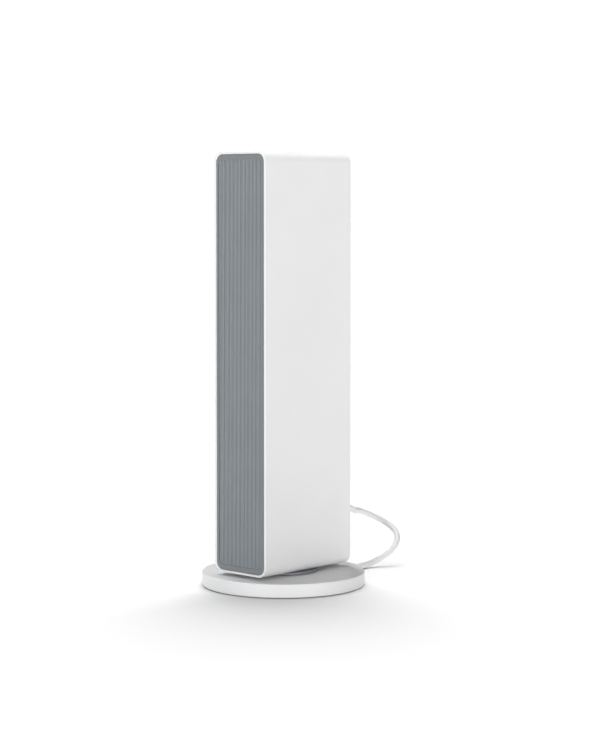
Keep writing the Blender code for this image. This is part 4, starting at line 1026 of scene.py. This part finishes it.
# %% Plug
PLUG_AT = Vector((-129.0, 63.0, 8.0)) * MM
PLUG_YAW = math.radians(43)
plug_place = Matrix.Translation(PLUG_AT) @ Matrix.Rotation(PLUG_YAW, 4, "Z")
plug_outline = [(-12.5, 17), (-12.5, 3), (-8.5, -8), (-6, -17), (6, -17), (8.5, -8), (12.5, 3),
                (12.5, 17)]
mains_plug = slab("mains_plug", plug_outline, -7.0, 7.0, "Z", PLUG_SKIN)
softened(mains_plug, 2.6 * MM, 5, 20)
mains_plug.data.transform(plug_place)
grip_profile = [(0, -29.2), *arc(3.6, -28.7, 0.5, -90, 0, 3)]
for i in range(4):
    z = -27.6 + 2.9 * i
    r = 4.2 + 0.35 * i
    grip_profile += [(r, z), (r, z + 1.5), (r - 0.6, z + 1.8), (r - 0.6, z + 2.5)]
grip_profile += [(5.3, -16.2), (0, -16.2)]
plug_grip = turned("plug_grip", grip_profile, 32, PLUG_SKIN, place=plug_place @ to_y)
report(mains_plug)

# %% Pins
pin_low = 17.3
plug_pins = []
for title, side in (("plug_pin_left", -1), ("plug_pin_right", 1)):
    shift = Matrix.Translation(Vector((side * 9.4, 0, 0)) * MM)
    pin = turned(title.replace("plug_", "") + "_turned", [
        (0, pin_low), (2.0, pin_low), (2.0, pin_low + 9), (1.9, pin_low + 9.2), (1.9, 34.6),
        *arc(1.0, 35.1, 0.9, 0, 90, 5), (0, 36.0)], 24, NICKEL, place=plug_place @ shift @ to_y)
    plug_pins.append(pin)
    report(pin)

# %% Strap
TIE_ANGLE = math.radians(55)
STRAP_MIDDLE, STRAP_W, STRAP_THICK = (32.9, 6.35), 9.0, 1.0
strap_path = rounded_outline(27.0, 11.3, 3.0, STRAP_MIDDLE, 6)
strap_bm = bmesh.new()
rings = []
for layer in (-STRAP_THICK / 2, STRAP_THICK / 2):
    for edge in (-STRAP_W / 2, STRAP_W / 2):
        points = []
        for i, (x, z) in enumerate(strap_path):
            before = Vector(strap_path[i - 1])
            after = Vector(strap_path[(i + 1) % len(strap_path)])
            out = Vector((after.y - before.y, before.x - after.x)).normalized() * layer
            points.append(strap_bm.verts.new(Vector((x + out.x, edge, z + out.y)) * MM))
        rings.append(points)
for one, two in ((0, 1), (1, 3), (3, 2), (2, 0)):
    for i in range(len(strap_path)):
        j = (i + 1) % len(strap_path)
        strap_bm.faces.new((rings[one][i], rings[one][j], rings[two][j], rings[two][i]))
lead_strap = from_bmesh("lead_strap", strap_bm, WOVEN)
softened(lead_strap, 0.2 * MM, 2, 50)
lead_strap.data.transform(Matrix.Translation(COIL_AT) @ Matrix.Rotation(TIE_ANGLE, 4, "Z"))
report(lead_strap)

# %% [markdown]
# ## Filter details
# Pulling the rear cover brings the filter out. Its back is a mat of carbon granules held
# in a net, never quite flat, and it has a woven pull tab. Both are soft, so they are made
# as thin bodies with a slight unevenness instead of as flat blocks.

# %% Carbon mat and pull tab
def soft_sheet(name, low, high, cells, swell, look):
    """A thin body whose broad faces are gently uneven; its edges keep their place."""
    bm = bmesh.new()
    nx, nz = cells
    sides = []
    for y, way in ((low.y, -1), (high.y, 1)):
        grid = []
        for i in range(nx + 1):
            column = []
            for k in range(nz + 1):
                x = low.x + (high.x - low.x) * i / nx
                z = low.z + (high.z - low.z) * k / nz
                inside = math.sin(math.pi * i / nx) * math.sin(math.pi * k / nz)
                lift = noise.noise(Vector((x, way * 40.0, z)) * 0.09) * swell * inside ** 0.5
                dip = way * (swell - abs(lift)) * 0.6
                column.append(bm.verts.new(Vector((x, y - dip, z)) * MM))
            grid.append(column)
        sides.append(grid)
    for grid, flip in zip(sides, (False, True)):
        for i in range(nx):
            for k in range(nz):
                ends = [grid[i][k], grid[i + 1][k], grid[i + 1][k + 1], grid[i][k + 1]]
                bm.faces.new(ends[::-1] if flip else ends)
    round_it = ([(i, 0) for i in range(nx)] + [(nx, k) for k in range(nz)]
                + [(i, nz) for i in range(nx, 0, -1)] + [(0, k) for k in range(nz, 0, -1)])
    one, two = ([grid[i][k] for i, k in round_it] for grid in sides)
    for i in range(len(one)):
        j = (i + 1) % len(one)
        bm.faces.new((one[i], two[i], two[j], one[j]))
    return softened(from_bmesh(name, bm, look), 0)


low, high = box_mm("carbon_sheet")
carbon_mat = soft_sheet("carbon_mat", low, high, (14, 70), 0.8, CARBON)
low, high = box_mm("filter_pull_tab")
pull_tab = soft_sheet("pull_tab", low, high, (8, 20), 0.25, WOVEN)
report(carbon_mat)

# %% [markdown]
# ## Finishes for the CAD pieces that stay
# The inner pieces keep their CAD shape: decks, duct walls, motors, rotor, boards and the
# filter's frame. Each CAD piece names the finish it was drawn with, so one table gives
# every one of them its proper material.

# %% Finishes by slot
FINISHES = {
    "white_shell": WHITE, "grey_grille": GREY, "rotor_plastic": ROTOR, "dark_plastic": DARK,
    "inner_plastic": INNER, "steel": STEEL, "ballast_iron": IRON, "rubber": RUBBER,
    "nylon": NYLON, "filter_paper": PAPER, "carbon_sheet": CARBON, "foam": FOAM,
    "circuit_board": BOARD, "display_lens": WINDOW, "lead_jacket": PLUG_SKIN,
    "plated_pin": NICKEL,
}
for name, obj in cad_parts.items():
    for place in obj.material_slots:
        place.material = FINISHES[place.material.name]
print("CAD pieces finished:", len(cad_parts))

# %% [markdown]
# ## Bodies, replaced pieces and the lead
# Every new piece rides on the body that it belongs to and names the CAD piece it stands
# for. The lead starts on the tower and ends on the floor. It rides on neither body and
# stays where it was built, so it does not follow the tower when it swivels.

# %% What rides on what
PIECES = [
    (base_dish, "base", "white_shell", ["base_cover"]),
    (rubber_feet, "base", "rubber", foot_names),
    (plate_screws, "base", "steel", plate_names),
    (neck_screws, "tower", "steel", neck_names),
    (panel_screws, "tower", "steel", panel_names),
    (casing, "tower", "white_shell", ["sleeve"]),
    (grille_ribs, "tower", "grey_grille", ["front_grille"]),
    (grille_border, "tower", "grey_grille", ["front_grille"]),
    (inlet_cover, "rear_cover", "white_shell", ["rear_cover"]),
    (cover_rim, "rear_cover", "white_shell", ["rear_cover"]),
    (service_panel, "tower", "white_shell", ["rear_panel"]),
    (cord_ring, "tower", "dark_plastic", ["cord_gland"]),
    (lead_boot, "tower", "lead_jacket", ["strain_relief"]),
    (turn_neck, "tower", "rotor_plastic", ["turntable"]),
    (top_panel, "tower", "dark_plastic", ["control_panel"]),
    (display_window, "tower", "display_lens", ["display_lens"]),
    (mains_plug, "base", "lead_jacket", ["plug_body"]),
    (plug_grip, "base", "lead_jacket", ["plug_body"]),
    (plug_pins[0], "base", "plated_pin", ["plug_pin_left"]),
    (plug_pins[1], "base", "plated_pin", ["plug_pin_right"]),
    (lead_strap, "base", "dark_plastic", ["cord_tie"]),
    (carbon_mat, "filter", "carbon_sheet", ["carbon_sheet"]),
    (pull_tab, "filter", "dark_plastic", ["filter_pull_tab"]),
]
for title in button_names:
    PIECES.append((caps[title], title, "dark_plastic", [title]))
for piece, body, slot, replaced in PIECES:
    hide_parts(*replaced)
    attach(piece, body)
print("pieces placed:", len(PIECES))

# %% The lead
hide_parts("cord_run", "cord_coil", "cord_tail")
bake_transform(mains_lead)

# %% [markdown]
# ## Floor and light
# The object stands on a plain pale sweep lit so brightly that it melts into the
# background, with only a soft shadow close to the base. One set of lamps can't give both
# that floor and the calm grey of the side face, so each has lamps of its own, tied to it
# by light linking. The floor has a dome, for the soft contact shadow all round, and a
# broad sun from behind, whose shadow falls towards the front. The object has a key from
# the left and slightly behind, which lights the base and leaves the tower's shadow on its
# right, low fills from the front and the right for the two faces that show, and a small
# softbox above for the bright line round the top.

# %% Floor
floor_mesh = bpy.data.meshes.new("floor")
FLOOR_HALF, FLOOR_TONE = 30.0, 0.575
floor_mesh.from_pydata([
    (-FLOOR_HALF, -FLOOR_HALF, 0), (FLOOR_HALF, -FLOOR_HALF, 0), (FLOOR_HALF, FLOOR_HALF, 0),
    (-FLOOR_HALF, FLOOR_HALF, 0)], [], [(0, 1, 2, 3)])
floor = linked("floor", floor_mesh)
sweep, tree, shader = shader_of("pale_sweep")
shader.inputs["Base Color"].default_value = (FLOOR_TONE, FLOOR_TONE, FLOOR_TONE, 1)
shader.inputs["Roughness"].default_value = 0.9
shader.inputs["Specular IOR Level"].default_value = 0.0
floor_mesh.materials.append(sweep)


# %% Light
def placed_light(name, kind, azimuth, elevation, far=3.0, **settings):
    """A light aimed at the middle of the tower; azimuth 0 is the front, 90 the right."""
    data = bpy.data.lights.new(name, kind)
    for key, value in settings.items():
        setattr(data, key, value)
    made = bpy.data.objects.new(name, data)
    a, e = math.radians(azimuth), math.radians(elevation)
    back = Vector((math.sin(a) * math.cos(e), -math.cos(a) * math.cos(e), math.sin(e)))
    made.rotation_euler = back.to_track_quat("Z", "Y").to_euler()
    made.location = back * far
    bpy.context.scene.collection.objects.link(made)
    return made


object_lights = [
    placed_light("key_from_left", "SUN", -103, 64, energy=1.9, angle=math.radians(24)),
    placed_light("fill_from_front", "SUN", 10, 4, energy=1.9, angle=math.radians(30),
                 color=(0.97, 0.985, 1.0)),
    placed_light("fill_from_right", "SUN", 76, 4, energy=1.6, angle=math.radians(30)),
    placed_light("softbox_above", "AREA", 0, 90, 0.85, energy=1.2, size=0.24),
]
sweep_lights = [
    placed_light("sweep_light", "SUN", 223, 57, energy=4.0, angle=math.radians(52)),
    placed_light("sweep_dome", "SUN", 0, 90, energy=2.1, angle=math.radians(170)),
]


def only(light, obj, state):
    """Lights this object alone, or everything but it."""
    group = bpy.data.collections.new(light.name + "_receivers")
    group.objects.link(obj)
    group.collection_objects[0].light_linking.link_state = state
    light.light_linking.receiver_collection = group


for light in object_lights:
    only(light, floor, "EXCLUDE")
for light in sweep_lights:
    only(light, floor, "INCLUDE")

world = bpy.data.worlds.new("studio")
bpy.context.scene.world = world
world.use_nodes = True
tree = world.node_tree
seen = node(tree, "ShaderNodeLightPath").outputs["Is Camera Ray"]
SKY_FOR_LIGHT, SKY_SEEN = 0.14, 1.05
level = node(tree, "ShaderNodeMapRange", {
    "Value": seen, "To Min": SKY_FOR_LIGHT, "To Max": SKY_SEEN})
tree.links.new(level.outputs["Result"], tree.nodes["Background"].inputs["Strength"])
tree.nodes["Background"].inputs["Color"].default_value = (1, 1, 1, 1)
bpy.context.scene.view_settings.view_transform = "Standard"
